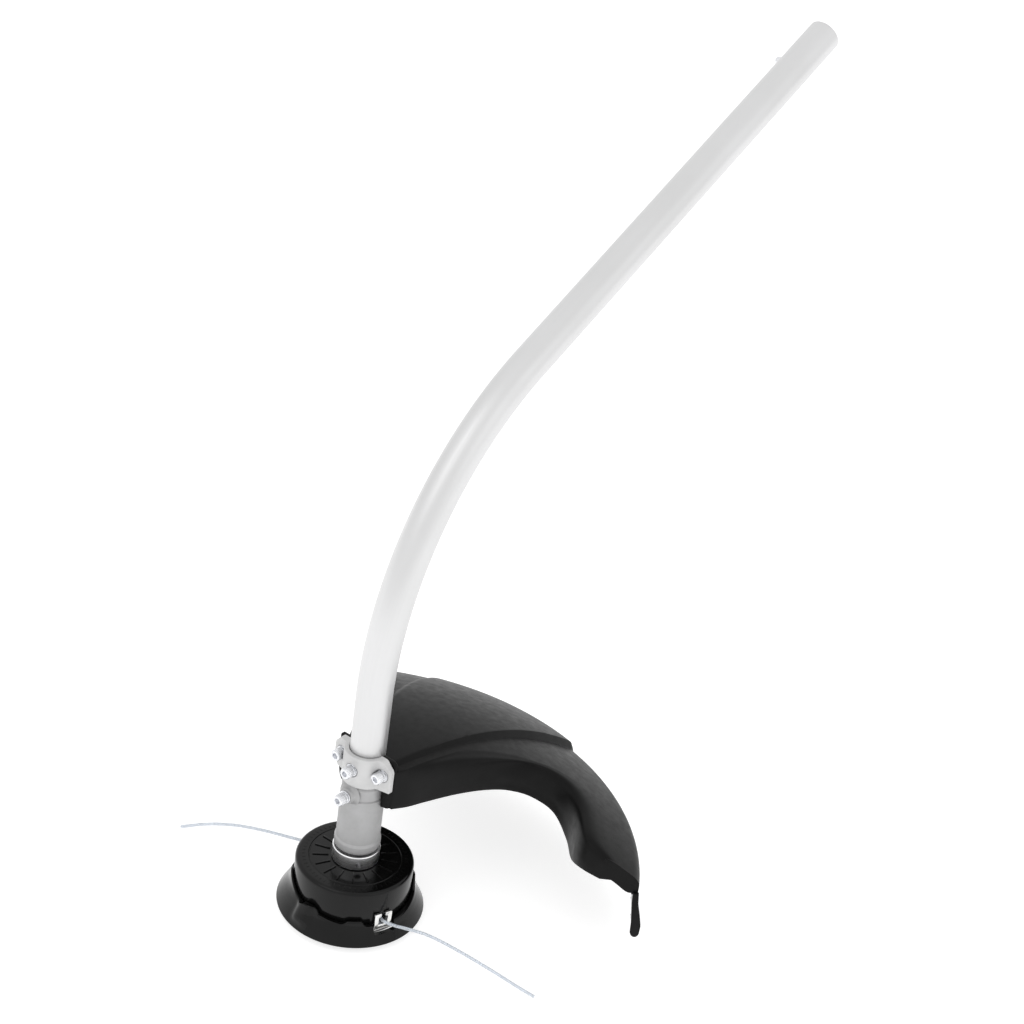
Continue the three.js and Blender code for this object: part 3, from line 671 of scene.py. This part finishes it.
def saddle():
    c = CLAMP
    join = math.degrees(math.acos(-c["front"] / c["outer"]))
    back = math.degrees(math.acos(-c["back"] / 13.3))
    plan = [(*p, 0) for p in arc(c["outer"], 180 - join + 9, 180 + join - 9, 40)]
    plan += [(c["front"], -c["half"] - 1), (c["back"], -c["half"] - 1)]
    plan += [(*p, 0) for p in arc(13.3, 180 + back, 180 - back, 40)]
    plan += [(c["back"], c["half"] + 1), (c["front"], c["half"] + 1)]
    barrel = prism("clamp_saddle", rounded(plan, 0.01, 2), c["bottom"], c["top"])
    low, top, half = c["bottom"], c["top"], c["half"]
    face = rounded([
        (-half, low, 0.8), (half - 5, low, 1.5), (half, low + 5, 1.5), (half, top - 6, 1.5),
        (half - 5, top, 1.5), (-half + 7, top, 4), (-half, top - 7, 4)], 1, 6)
    combine(barrel, "INTERSECT", plate_across_x("face", face, -20, 2))
    cutters = [rod("bore", 15.05, low - 1, 128.6, 96)]
    for y in (-c["screw_y"], 0, c["screw_y"]):
        cutters.append(move(rod("hole", 2.7, -5, 30), FACING_FRONT, shift(0, y, c["screw_z"])))
    for y in (-c["screw_y"], c["screw_y"]):
        cutters.append(move(rod("spot_face", 5.3, -c["front"], 20), FACING_FRONT,
                            shift(0, y, c["screw_z"])))
    cutters.append(move(rod("spot_face", 5.3, c["locating"], 20), FACING_FRONT,
                        shift(0, 0, c["screw_z"])))
    combine(barrel, "DIFFERENCE", *cutters)
    melt(barrel, 0.42, 4)
    dress(barrel, "frame", "cast_light", "saddle_bracket", sharp=60)
    liner = tube_ring("clamp_sleeve", 14.35, 14.95, 117.7, 128, 0.1)
    dress(liner, "frame", "liner_rubber", "clamp_liner")


saddle()


# ---- screws and washers ---------------------------------------------------------------

def knurled(radius, depth=0.16, teeth=30):
    return lambda a: radius - depth * (0.5 + 0.5 * cos(teeth * a)) ** 0.6


def hexagon(across_flats):
    return lambda a: across_flats / 2 / cos((a % (pi / 3)) - pi / 6)


def socket_screw(name, length, shank=2.5, head=4.25, height=5.8, key=4.0):
    grip = knurled(head)
    profile = [
        (0, -length), (shank - 0.4, -length), (shank, -length + 0.4), (shank, -0.3),
        (head - 0.35, 0), (grip, 0.35), (grip, height - 0.8), (head - 0.22, height - 0.55),
        (head - 0.45, height - 0.15), (head - 0.75, height), (hexagon(key + 0.5), height),
        (hexagon(key), height - 0.3), (hexagon(key), height * 0.45), (0, height * 0.4),
    ]
    return lathe(name, profile, 180)


def split_washer(name, inner=2.7, outer=4.35, thick=1.5):
    """A spring washer: a square section wound round once, with a gap."""
    section = rounded([(inner, 0), (outer, 0), (outer, thick), (inner, thick)], 0.2, 2)
    steps, points, faces = 60, [], []
    for k in range(steps + 1):
        a = 0.12 + (tau - 0.24) * k / steps
        for r, z in section:
            points.append((r * cos(a), r * sin(a), z))
    n = len(section)
    for k in range(steps):
        for i in range(n):
            j = (i + 1) % n
            faces.append([k * n + i, k * n + j, (k + 1) * n + j, (k + 1) * n + i])
    faces += [list(range(n))[::-1], list(range(steps * n, steps * n + n))]
    return new_object(name, points, faces)


def fastener(name, face, y, z, length):
    pieces = [
        ("washer", tube_ring(f"{name}_flat_washer", 2.7, 4.85, 0, 1.2, 0.2, 64), face - 0.1),
        ("spring_washer", split_washer(f"{name}_split_washer"), face - 1.4),
        ("screw", socket_screw(f"{name}_cap_screw", length), face - 3),
    ]
    for node, piece, x in pieces:
        turned = spin(17 * len(name) + 40, "Z")
        move(piece, turned, FACING_FRONT, shift(x, y, z))
        dress(piece, "frame", "bright_zinc", f"{name}_{node}", sharp=28)


fastener("ear_right", CLAMP["front"], -CLAMP["screw_y"], CLAMP["screw_z"], 14.5)
fastener("ear_left", CLAMP["front"], CLAMP["screw_y"], CLAMP["screw_z"], 14.5)
fastener("locating", -CLAMP["locating"], 0, CLAMP["screw_z"], 6)
fastener("housing", -BOSS["face"], 0, BOSS["z"], 11)


def hex_nut(name, across, bore, height):
    flats = hexagon(across)
    tip = across / 2 / cos(pi / 6)

    def chamfered(a):
        return min(flats(a), tip - 0.75)

    profile = [
        (bore + 0.4, 0), (chamfered, 0), (flats, 0.55), (flats, height - 0.55), (chamfered, height),
        (bore + 0.4, height), (bore, height - 0.4), (bore, 0.4)]
    return lathe(name, profile, 96)


for side, sign in (("right", -1), ("left", 1)):
    nut = hex_nut(f"ear_{side}_hex_nut", 8, 2.6, 4)
    move(nut, FACING_FRONT, shift(8.15, sign * CLAMP["screw_y"], CLAMP["screw_z"]))
    dress(nut, "frame", "bright_zinc", f"ear_{side}_nut")


# ---- guard ----------------------------------------------------------------------------

GUARD = {"top": 136, "drop": 68.3, "power": 2.29, "rim": 207, "thick": 2.6, "step": 6.5,
         "skirt": 207, "skirt_top": 57, "draft": 0.15, "low": 100.5, "high": 142, "back": 4,
         "channel": 18.4, "left_break": 44, "left_bottom": 38, "cutter_bottom": 19,
         "left_wall": 18, "cutter_wall": 16, "cutter_angle": -56.6}

# The creases beside the roof's raised panel: where each starts and its direction, in degrees.
LEFT_CREASE, RIGHT_CREASE = (0.6, 16.4, 23), (0.6, -20.3, -13)
# Stations of the inner edge from the guard's left end to its cutter end: place, the angle of
# the rim that it joins, the height of the foot of its wall and the wall's corner radius.
ALONG_FLANGE = [(0.6, 20, 34, 112, 1.5), (0.6, 18, 28, 106, 1.5), (*LEFT_CREASE, 104, 1.5),
                (0.6, 0, 7, 104, 1.5), (*RIGHT_CREASE, 104, 1.5), (0.6, -26.2, -15.5, 103, 2.5)]
ALONG_WALL = [(0.6, -26.2, -15.5, 103, 2.5), (12, -31.5, -17, 102.2, 6), (26, -36, -18.5, 101.7, 9),
              (52, -45, -22, 100.6, 11), (77, -53, -27, 96.2, 12), (98, -59.5, -31, 88.8, 12),
              (114, -70, -35, 80.5, 12), (122, -86, -39, 71.3, 11), (117, -104, -44, 59.5, 10),
              (104, -117.5, -49, 58.5, 10), (94, -127, -52, 64, 10), (88.5, -135.5, -54.4, 67.8, 9),
              (87, -143, -56.5, 68.7, 9), (90, -153, -58.6, 66.5, 8)]
WALL_ROWS, CORNER_ROWS, ROOF_ROWS, LIP_ROWS = 8, 7, 30, 5


def roof_height(x, y):
    return GUARD["top"] - GUARD["drop"] * (math.hypot(x, y) / GUARD["rim"]) ** GUARD["power"]


def rise(value, width):
    """A smooth step from 0 to 1 across width, centred on 0."""
    t = min(max(value / width + 0.5, 0), 1)
    return t * t * (3 - 2 * t)


def right_of(crease, x, y):
    """How far a point lies to the right of a crease, looking out along it."""
    x0, y0, angle = crease
    out, side = GUARD["rim"] * cos(radians(angle)), GUARD["rim"] * sin(radians(angle))
    across = Vector((side - y0, x0 - out)).normalized()
    return across.dot(Vector((x - x0, y - y0)))


def panel(x, y, along):
    """How far the raised panel lifts the roof: a low step to its left, a full one to its right."""
    height = GUARD["step"] * (0.35 + 0.65 * along)
    left, right = right_of(LEFT_CREASE, x, y), -right_of(RIGHT_CREASE, x, y)
    return height * (0.65 + 0.35 * rise(left, 5)) * rise(right, 3.2)


def skirt_radius(z):
    return GUARD["skirt"] + max(0, GUARD["skirt_top"] - z) * GUARD["draft"]


def rounded_turn(before, corner, after, steps):
    """A quadratic curve from before to after, drawn towards the corner."""
    out = []
    for k in range(steps + 1):
        t = k / steps
        out.append(before.lerp(corner, t).lerp(corner.lerp(after, t), t))
    return out


def guard_column(station, skirt_break, skirt_bottom):
    """One line of points over the guard: wall foot, wall, roof, rim and skirt."""
    x, y, angle, foot, corner = station
    turn = radians(angle)
    rim = Vector((GUARD["rim"] * cos(turn), GUARD["rim"] * sin(turn)))
    edge = Vector((x, y))
    width = (rim - edge).length

    def roof(distance):
        place = edge.lerp(rim, distance / width)
        lift = panel(place.x, place.y, distance / width)
        return Vector((place.x, place.y, roof_height(place.x, place.y) + lift))

    top = roof(0)
    drop = min(corner, 0.45 * (top.z - foot))
    below = top - Vector((0, 0, drop))
    bottom = Vector((x, y, foot))
    wall = [bottom.lerp(below, k / WALL_ROWS) for k in range(WALL_ROWS)]
    turnover = rounded_turn(below, top, roof(corner), CORNER_ROWS)[:-1]
    rounding = 5
    across = [roof(corner + (width - rounding - corner) * k / ROOF_ROWS) for k in range(ROOF_ROWS)]
    edge_top = roof(width)
    outward = Vector((cos(turn), sin(turn), 0))

    def skirt(z):
        return outward * skirt_radius(z) + Vector((0, 0, z))

    start = edge_top.z - rounding
    over = rounded_turn(roof(width - rounding), outward * skirt_radius(edge_top.z)
                        + Vector((0, 0, edge_top.z)), skirt(start), CORNER_ROWS)[:-1]
    down = [skirt(start + (skirt_break - start) * k / WALL_ROWS) for k in range(WALL_ROWS)]
    down += [skirt(skirt_break + (skirt_bottom - skirt_break) * k / LIP_ROWS)
             for k in range(LIP_ROWS + 1)]
    return wall + turnover + across + over + down


def end_wall(column, depth):
    """Rows of points that hang from a column's roof, between its wall and its skirt."""
    first = WALL_ROWS + CORNER_ROWS
    last = first + ROOF_ROWS
    foot = column[last + first].z
    rows = [column[first:last + 1]]
    for k in range(1, first + 1):
        row = [column[first - k]]
        for j in range(first + 1, last):
            along = (j - first) / (last - first)
            to_skirt = column[j].z - foot
            hang = depth + (to_skirt - depth) * along ** 3
            row.append(column[j] - Vector((0, 0, hang * k / first)))
        row.append(column[last + k])
        rows.append(row)
    return rows


def soften(columns, start):
    """Evens out the turn from wall to roof, away from the flange and the guard's two ends."""
    grid = np.array([[tuple(point) for point in column] for column in columns])
    low, high = WALL_ROWS - 4, WALL_ROWS + CORNER_ROWS + 9
    for _ in range(60):
        around = (grid[start - 1:-2, low:high] + grid[start + 1:, low:high]
                  + grid[start:-1, low - 1:high - 1] + grid[start:-1, low + 1:high + 1]) / 4
        grid[start:-1, low:high] = (grid[start:-1, low:high] + around) / 2
    return [[Vector(point) for point in column] for column in grid]


def guard_sheet():
    flange = through(ALONG_FLANGE, 18)[:-1]
    wall = through(ALONG_WALL, 9)
    stations = [*flange, *wall]
    count = len(stations) - 1
    columns = []
    for i, station in enumerate(stations):
        t = (i / count) ** 0.6
        skirt_break = GUARD["left_break"] + (GUARD["skirt_top"] - GUARD["left_break"]) * t
        skirt_bottom = GUARD["left_bottom"] + (GUARD["cutter_bottom"] - GUARD["left_bottom"]) * t
        columns.append(guard_column(station, skirt_break, skirt_bottom))
    columns = soften(columns, len(flange) + 4)
    grids = [columns, end_wall(columns[0], GUARD["left_wall"]),
             end_wall(columns[-1], GUARD["cutter_wall"])]
    points, faces = [], []
    for index, grid in enumerate(grids):
        for k in range(len(grid) - 1):
            for j in range(len(grid[0]) - 1):
                corners = [grid[k][j], grid[k][j + 1], grid[k + 1][j + 1], grid[k + 1][j]]
                if index != 1:  # the left end's wall faces the other way
                    corners.reverse()
                faces.append(range(len(points), len(points) + 4))
                points += corners
    return new_object("grass_guard", points, faces)


def guard():
    shell = guard_sheet()
    solid = shell.modifiers.new("thicken", "SOLIDIFY")
    solid.thickness = GUARD["thick"] * MM
    solid.offset = -1
    solid.use_quality_normals = True
    bake(shell)
    bevel(shell, 0.7, 2, 50)
    low, high, half = GUARD["low"], GUARD["high"], CLAMP["half"]
    plate = plate_across_x("flange", rounded([
        (-half, low, 7), (half - 4, low, 10), (half, low + 18, 8), (half, high, 1.5),
        (-half, high, 5)], 1, 6), 0.3, GUARD["back"])
    bevel(plate, 0.9, 3)
    channel = rod("channel", GUARD["channel"], low, high - 4, 96)
    combine(channel, "DIFFERENCE", block("front_half", -30, 0.3, -30, 30, 90, 150))
    end = prism("skirt_end", rounded([
        (203.3, 58, 0.5), (203.6, 50, 12), (206, 30, 12), (206.4, 22, 3), (208, 18.8, 3),
        (211.4, 18.4, 3), (213.2, 21.5, 3), (213.4, 29, 8), (211.4, 38, 12), (208.8, 48, 12),
        (207.6, 58, 0.5)], 1, 5), 6.6, 9.6)
    bevel(end, 1.1, 3, 40)
    move(end, spin(90, "X"), spin(GUARD["cutter_angle"], "Z"))
    combine(shell, "UNION", plate, channel, end)
    bores = [rod("tube_bore", 13.4, 80, 200, 96), rod("collar_bore", 15.25, 80, 128.6, 96),
             rod("housing_bore", 16.6, 80, CLAMP["bottom"] - 0.3, 96)]
    for y in (-CLAMP["screw_y"], CLAMP["screw_y"]):
        for radius, z0, z1 in ((2.7, -8, 8), (4.9, -14, -GUARD["back"])):
            hole = rod("bolt_hole", radius, z0, z1)
            bores.append(move(hole, FACING_FRONT, shift(0, y, CLAMP["screw_z"])))
    bores += cutter_screws(0.3, -8)
    combine(shell, "DIFFERENCE", *bores)
    dress(shell, "frame", "guard_plastic", "guard", sharp=38)


# ---- line cutter ----------------------------------------------------------------------

CUTTER = {"z": 40, "outer": -3.5, "thick": 1.6, "edge": -6.2, "reach": 11,
          "bottom": -20, "top": 14, "screw_y": 3, "screw_z": (-12, 4)}
ON_SKIRT = (spin(GUARD["cutter_angle"], "Z") @ shift(skirt_radius(CUTTER["z"]), 0, CUTTER["z"])
            @ spin(-math.degrees(math.atan(GUARD["draft"])), "Y"))


def cutter_screws(clearance, tip, name="screw_room"):
    """The two countersunk screws of the cutter, or the room for them."""
    made = []
    for i, z in enumerate(CUTTER["screw_z"]):
        head, shank = 3.6 + clearance, 1.9 + clearance
        profile = [(0, tip), (shank, tip), (shank, -1.9), (head, -0.25), (head, clearance)]
        if clearance:
            profile.append((0, clearance))
        else:
            profile += [(hexagon(2.9), 0), (hexagon(2.6), -0.15), (hexagon(2.6), -1.5), (0, -1.7)]
        screw = lathe(f"{name}_{i + 1}", profile, 96)
        made.append(move(screw, spin(90, "Y"), shift(0, CUTTER["screw_y"], z), ON_SKIRT))
    return made


def line_cutter():
    c = CUTTER
    outline = rounded([(c["edge"], c["bottom"] + 5, 1), (c["edge"] + 4, c["bottom"], 1),
                       (c["reach"], c["bottom"], 1.5), (c["reach"], c["top"], 1.5),
                       (c["edge"], c["top"], 0.6)], 1, 4)
    blade = plate_across_x("cutter_blade", outline, c["outer"] - c["thick"], c["outer"])
    for z in c["screw_z"]:
        hole = move(rod("hole", 2.2, -8, 0), spin(90, "Y"), shift(0, c["screw_y"], z))
        combine(blade, "DIFFERENCE", hole)
    ground = block("ground_edge", -3, 1.2, -3, 3, -40, 40)
    move(ground, spin(-24, "Z"), shift(c["outer"] - c["thick"] - 0.9, c["edge"] - 0.6, 0))
    combine(blade, "DIFFERENCE", ground)
    bevel(blade, 0.15, 1, 40)
    dress(move(blade, ON_SKIRT), "frame", "cutter_steel", "line_cutter")
    for i, screw in enumerate(cutter_screws(0, c["outer"] - c["thick"] - 0.4, "cutter_screw")):
        dress(screw, "frame", "bright_zinc", f"line_cutter_screw_{i + 1}")


guard()
line_cutter()


# ---- cutting head ---------------------------------------------------------------------

HEAD = {"radius": 43.5, "top": 46, "bottom": 13, "wall": 2.4, "skirt_bottom": 5, "floor": 11.2,
        "bore": 44.2}
RIBS = {"count": 17, "first": 112, "inner": 19.4, "outer": 31.2, "width": 1.1, "height": 0.8}
TICKS = {"count": 60, "first": 0, "inner": 36.4, "outer": 38.8, "width": 0.55, "height": 0.22}
EYELET = {"angles": {"right": 251, "left": 71}, "z": 20.5, "half": 7}


def islands(name, pieces):
    """Many small separate solids as one object."""
    whole = pieces[0]
    for piece in pieces[1:]:
        work = bmesh.new()
        work.from_mesh(whole.data)
        work.from_mesh(piece.data)
        work.to_mesh(whole.data)
        work.free()
        bpy.data.objects.remove(piece)
    whole.name = name
    return whole


def radial_bars(bars, top):
    """Evenly spaced bars, standing out of a flat top."""
    made = []
    for k in range(bars["count"]):
        half = bars["width"] / 2
        bar = block("bar", bars["inner"], bars["outer"], -half, half, top - 1,
                    top + bars["height"])
        bevel(bar, bars["width"] * 0.3, 2)
        made.append(move(bar, spin(bars["first"] + k * 360 / bars["count"], "Z")))
    return made


def drum():
    h = HEAD
    r, top, inside = h["radius"], h["top"], h["radius"] - h["wall"]
    outline = [
        (inside, h["bottom"], 0.3), (r - 0.1, h["bottom"], 0.4), (r, top, 3), (34.2, top, 0.1),
        (33.9, top - 0.35, 0.1), (33.3, top - 0.35, 0.1), (33, top, 0.1), (4.3, top, 0.3),
        (4.3, 38, 0.3), (12, 38, 0.5), (12, top - h["wall"], 1), (inside, top - h["wall"], 1.5)]
    shell = lathe("drum", rounded(outline, 0.3, 6), 192)
    raised = radial_bars(RIBS, top) + radial_bars(TICKS, top)
    combine(shell, "UNION", islands("bars", raised))
    cuts = []
    for angle in EYELET["angles"].values():
        window = block("window", 30, 50, -5.4, 5.4, EYELET["z"] - 5.4, EYELET["z"] + 5.4)
        cuts.append(move(bevel(window, 0.8), spin(angle, "Z")))
        seam = block("seam", r - 0.15, r + 1, -0.2, 0.2, EYELET["z"] + 8, top - 3.5)
        cuts.append(move(seam, spin(angle + 4, "Z")))
    combine(shell, "DIFFERENCE", islands("cuts", cuts))
    dress(shell, "head", "head_plastic", "head_housing", sharp=40)


# The cover's wavy top edge over half a turn from +X; the other half repeats it: (degrees,
# height). Its side flares out towards the ground: heights, and the radius at each.
COVER_EDGE = [(0, 26.3), (6, 26), (10, 22), (20, 21), (33, 20), (38, 22.8), (50, 23),
              (54, 18.9), (88, 19.4), (108, 21.4), (123, 23), (129, 31), (133, 32.6),
              (146, 29), (158, 25.2), (169, 23), (174, 25.6), (180, 26.3)]
COVER_SIDE = ((5, 6.3, 9.6, 15, 20, 24, 33), (54, 54.4, 52.6, 49.7, 47.4, 46.2, 45.5))
LATCH = {"angle": 175, "out": 2.6, "half": 8, "low": 11, "high": 27.5}


def cover_edge(a):
    return float(np.interp(math.degrees(a) % 180, *zip(*COVER_EDGE)))


def cover_radius(a, z):
    """The cover's flared side, with the swelling of its two latches."""
    off = (math.degrees(a) - LATCH["angle"] + 90) % 180 - 90
    swelling = LATCH["out"] * math.exp(-(off / LATCH["half"]) ** 4)
    swelling *= rise(z - LATCH["low"], 6) * rise(LATCH["high"] - z, 6)
    return float(np.interp(z, *COVER_SIDE)) + swelling


def lower_cover():
    bore, floor, bottom, opening, even = HEAD["bore"], HEAD["floor"], HEAD["skirt_bottom"], 22.3, 14
    profile = [(51.6, bottom + 0.1), (52.4, bottom), (53.6, bottom), (54.3, 5.6)]
    for z in (6.3, 7.6, 9.6, 12, even):
        profile.append((lambda a, z=z: cover_radius(a, z), z))
    for t in np.linspace(0, 1, 9)[1:]:
        def height(a, t=t):
            return even + (cover_edge(a) - 0.5 - even) * t
        profile.append((lambda a, f=height: cover_radius(a, f(a)), height))
    profile += [
        (lambda a: cover_radius(a, cover_edge(a)) - 0.4, cover_edge),
        (bore + 0.3, cover_edge), (bore, lambda a: cover_edge(a) - 0.3), (bore, floor + 0.5),
        (bore - 0.5, floor), (opening + 0.3, floor), (opening, floor - 0.4),
        (opening, floor - 2.4), (opening + 0.4, floor - 2.8), (bore - 1.4, floor - 2.8),
        (bore + 0.4, 11), (bore + 1, 16), (46.6, 15), (49.4, 8.8)]
    cover = lathe("cover", profile, 256)
    notches = []
    for angle in EYELET["angles"].values():
        notch = block("notch", 40, 60, -8.5, 8.5, EYELET["z"] - EYELET["half"] - 0.5, 40)
        notches.append(move(bevel(notch, 0.7), spin(angle, "Z")))
    combine(cover, "DIFFERENCE", *notches)
    dress(cover, "head", "head_plastic", "lower_cover", sharp=36)


def line_eyelet(side, angle):
    half, drum_side = EYELET["half"], HEAD["radius"]
    wide, low, high, slot = 3.6, -2.6, 4, 1.6
    outline = rounded([
        (-half, -half), (half, -half), (half, half), (slot, half), (slot, high), (wide, high),
        (wide, low), (-wide, low), (-wide, high), (-slot, high), (-slot, half), (-half, half)],
        0.6, 3)
    plate = plate_across_x(f"eyelet_{side}", outline, drum_side + 0.3, drum_side + 2.6)
    bevel(plate, 0.4, 3)
    throat = rounded([(-5, -4), (5, -4), (5, high), (wide, high), (wide, low), (-wide, low),
                      (-wide, high), (-5, high)], 0.3, 3)
    sleeve = plate_across_x("sleeve", throat, drum_side - 4, drum_side + 0.6)
    combine(plate, "UNION", bevel(sleeve, 0.2, 1))
    move(plate, shift(0, 0, EYELET["z"]), spin(angle, "Z"))
    dress(plate, "head", "eyelet_metal", f"line_eyelet_{side}")


def bump_knob():
    flutes = 12

    def grip(depth):
        return lambda a: 21.5 - depth * (0.5 - 0.5 * cos(flutes * a)) ** 2

    profile = [(0, 0), (13.5, 0), (15.2, 0.35), (17.2, 1.1), (19.2, 1.9), (20.4, 2.9),
               (grip(0.3), 4.4), (grip(0.8), 6), (grip(0.9), 8.5), (grip(0.5), 10.6),
               (21, 11.6), (18.6, 11.6), (16.2, 6), (15.6, 4.6), (14.6, 3.8), (0, 3.6)]
    knob = lathe("tap_knob", profile, 192)
    dress(knob, "knob", "knob_plastic", "bump_knob")


drum()
lower_cover()
for side, angle in EYELET["angles"].items():
    line_eyelet(side, angle)
bump_knob()


def head_nut():
    nut = move(hex_nut("spindle_nut", 13, 4.15, 5), shift(0, 0, 32.7))
    dress(nut, "head", "bright_zinc", "head_nut")


def line_winding():
    """The line on the spool: its outer turns show as ridges."""
    core, middle, turns = 19.8, 32.4, 6
    profile = [(core, 14.3)]
    for k in range(turns):
        z = 15.5 + 2 * LINE_RADIUS * k
        profile += [(middle + LINE_RADIUS * cos(a), z + LINE_RADIUS * sin(a))
                    for a in np.linspace(-1.4, 1.4, 7)]
    profile.append((core, 28.7))
    winding = lathe("line_winding", profile, 128)
    dress(winding, "spool_set", "line_nylon", "wound_line", sharp=60)


def coil_spring():
    """The bump spring."""
    low, high, radius, wire, turns = 27.2, 42.4, 14.6, 0.7, 4.5
    steps, sides = 216, 10
    points, faces = [], []
    for k in range(steps + 1):
        a = tau * turns * k / steps
        for side in range(sides):
            b = tau * side / sides
            reach = radius + wire * cos(b)
            points.append((reach * cos(a), reach * sin(a),
                           low + (high - low) * k / steps + wire * sin(b)))
    for k in range(steps):
        for side in range(sides):
            n = (side + 1) % sides
            faces.append([k * sides + side, k * sides + n, (k + 1) * sides + n,
                          (k + 1) * sides + side])
    faces += [list(range(sides))[::-1], list(range(steps * sides, (steps + 1) * sides))]
    spring = new_object("coil_spring", points, faces)
    finish_surface(spring, "spring_steel", 180)
    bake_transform(spring)
    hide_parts("bump_spring")


head_nut()
line_winding()
coil_spring()

# The pieces whose shape is already right in the CAD model only take their finish.
FINISHED = ["liner_bushing", "flexible_drive_shaft", "drive_shaft_liner", "bearing_lower",
            "bearing_upper", "bearing_circlip", "arbor", "drive_end_lower", "spool"]


def finish_cad_nodes():
    slots = {part["node"]: part["material_slot"] for part in frame["record"]["subparts"]}
    for node in FINISHED:
        mesh = frame["nodes"][node].data
        mesh.materials.clear()
        mesh.materials.append(LOOKS[slots[node]])


finish_cad_nodes()


# ---- floor and light ------------------------------------------------------------------

def studio():
    reach = 9000
    floor = new_object("floor", [(-reach, -reach, 0), (reach, -reach, 0), (reach, reach, 0),
                                 (-reach, reach, 0)], [[0, 1, 2, 3]])
    look = Look("floor_paint", 0.8)
    look.shades(look.noise(3, detail=2), grey(0.50), grey(0.52))
    look.shader.inputs["Emission Color"].default_value = (1, 1, 1, 1)
    look.shader.inputs["Emission Strength"].default_value = 0.74
    floor.data.materials.append(look.material)
    world = bpy.data.worlds.new("studio")
    bpy.context.scene.world = world
    world.use_nodes = True
    background = world.node_tree.nodes["Background"]
    background.inputs["Color"].default_value = (1, 1, 1, 1)
    background.inputs["Strength"].default_value = 1.0
    for name, place, target, size, power in (
            ("key", (-1.6, 0.3, 2.2), (0.1, 0, 0.25), 1.6, 5),
            ("fill", (0.2, -2.4, 1.5), (0.1, 0, 0.2), 1.8, 3)):
        data = bpy.data.lights.new(name, "AREA")
        data.size = size
        data.energy = power
        lamp = bpy.data.objects.new(name, data)
        lamp.location = place
        aim = Vector(target) - Vector(place)
        lamp.rotation_euler = aim.to_track_quat("-Z", "Y").to_euler()
        bpy.context.scene.collection.objects.link(lamp)
    bpy.context.scene.view_settings.view_transform = "Standard"


studio()
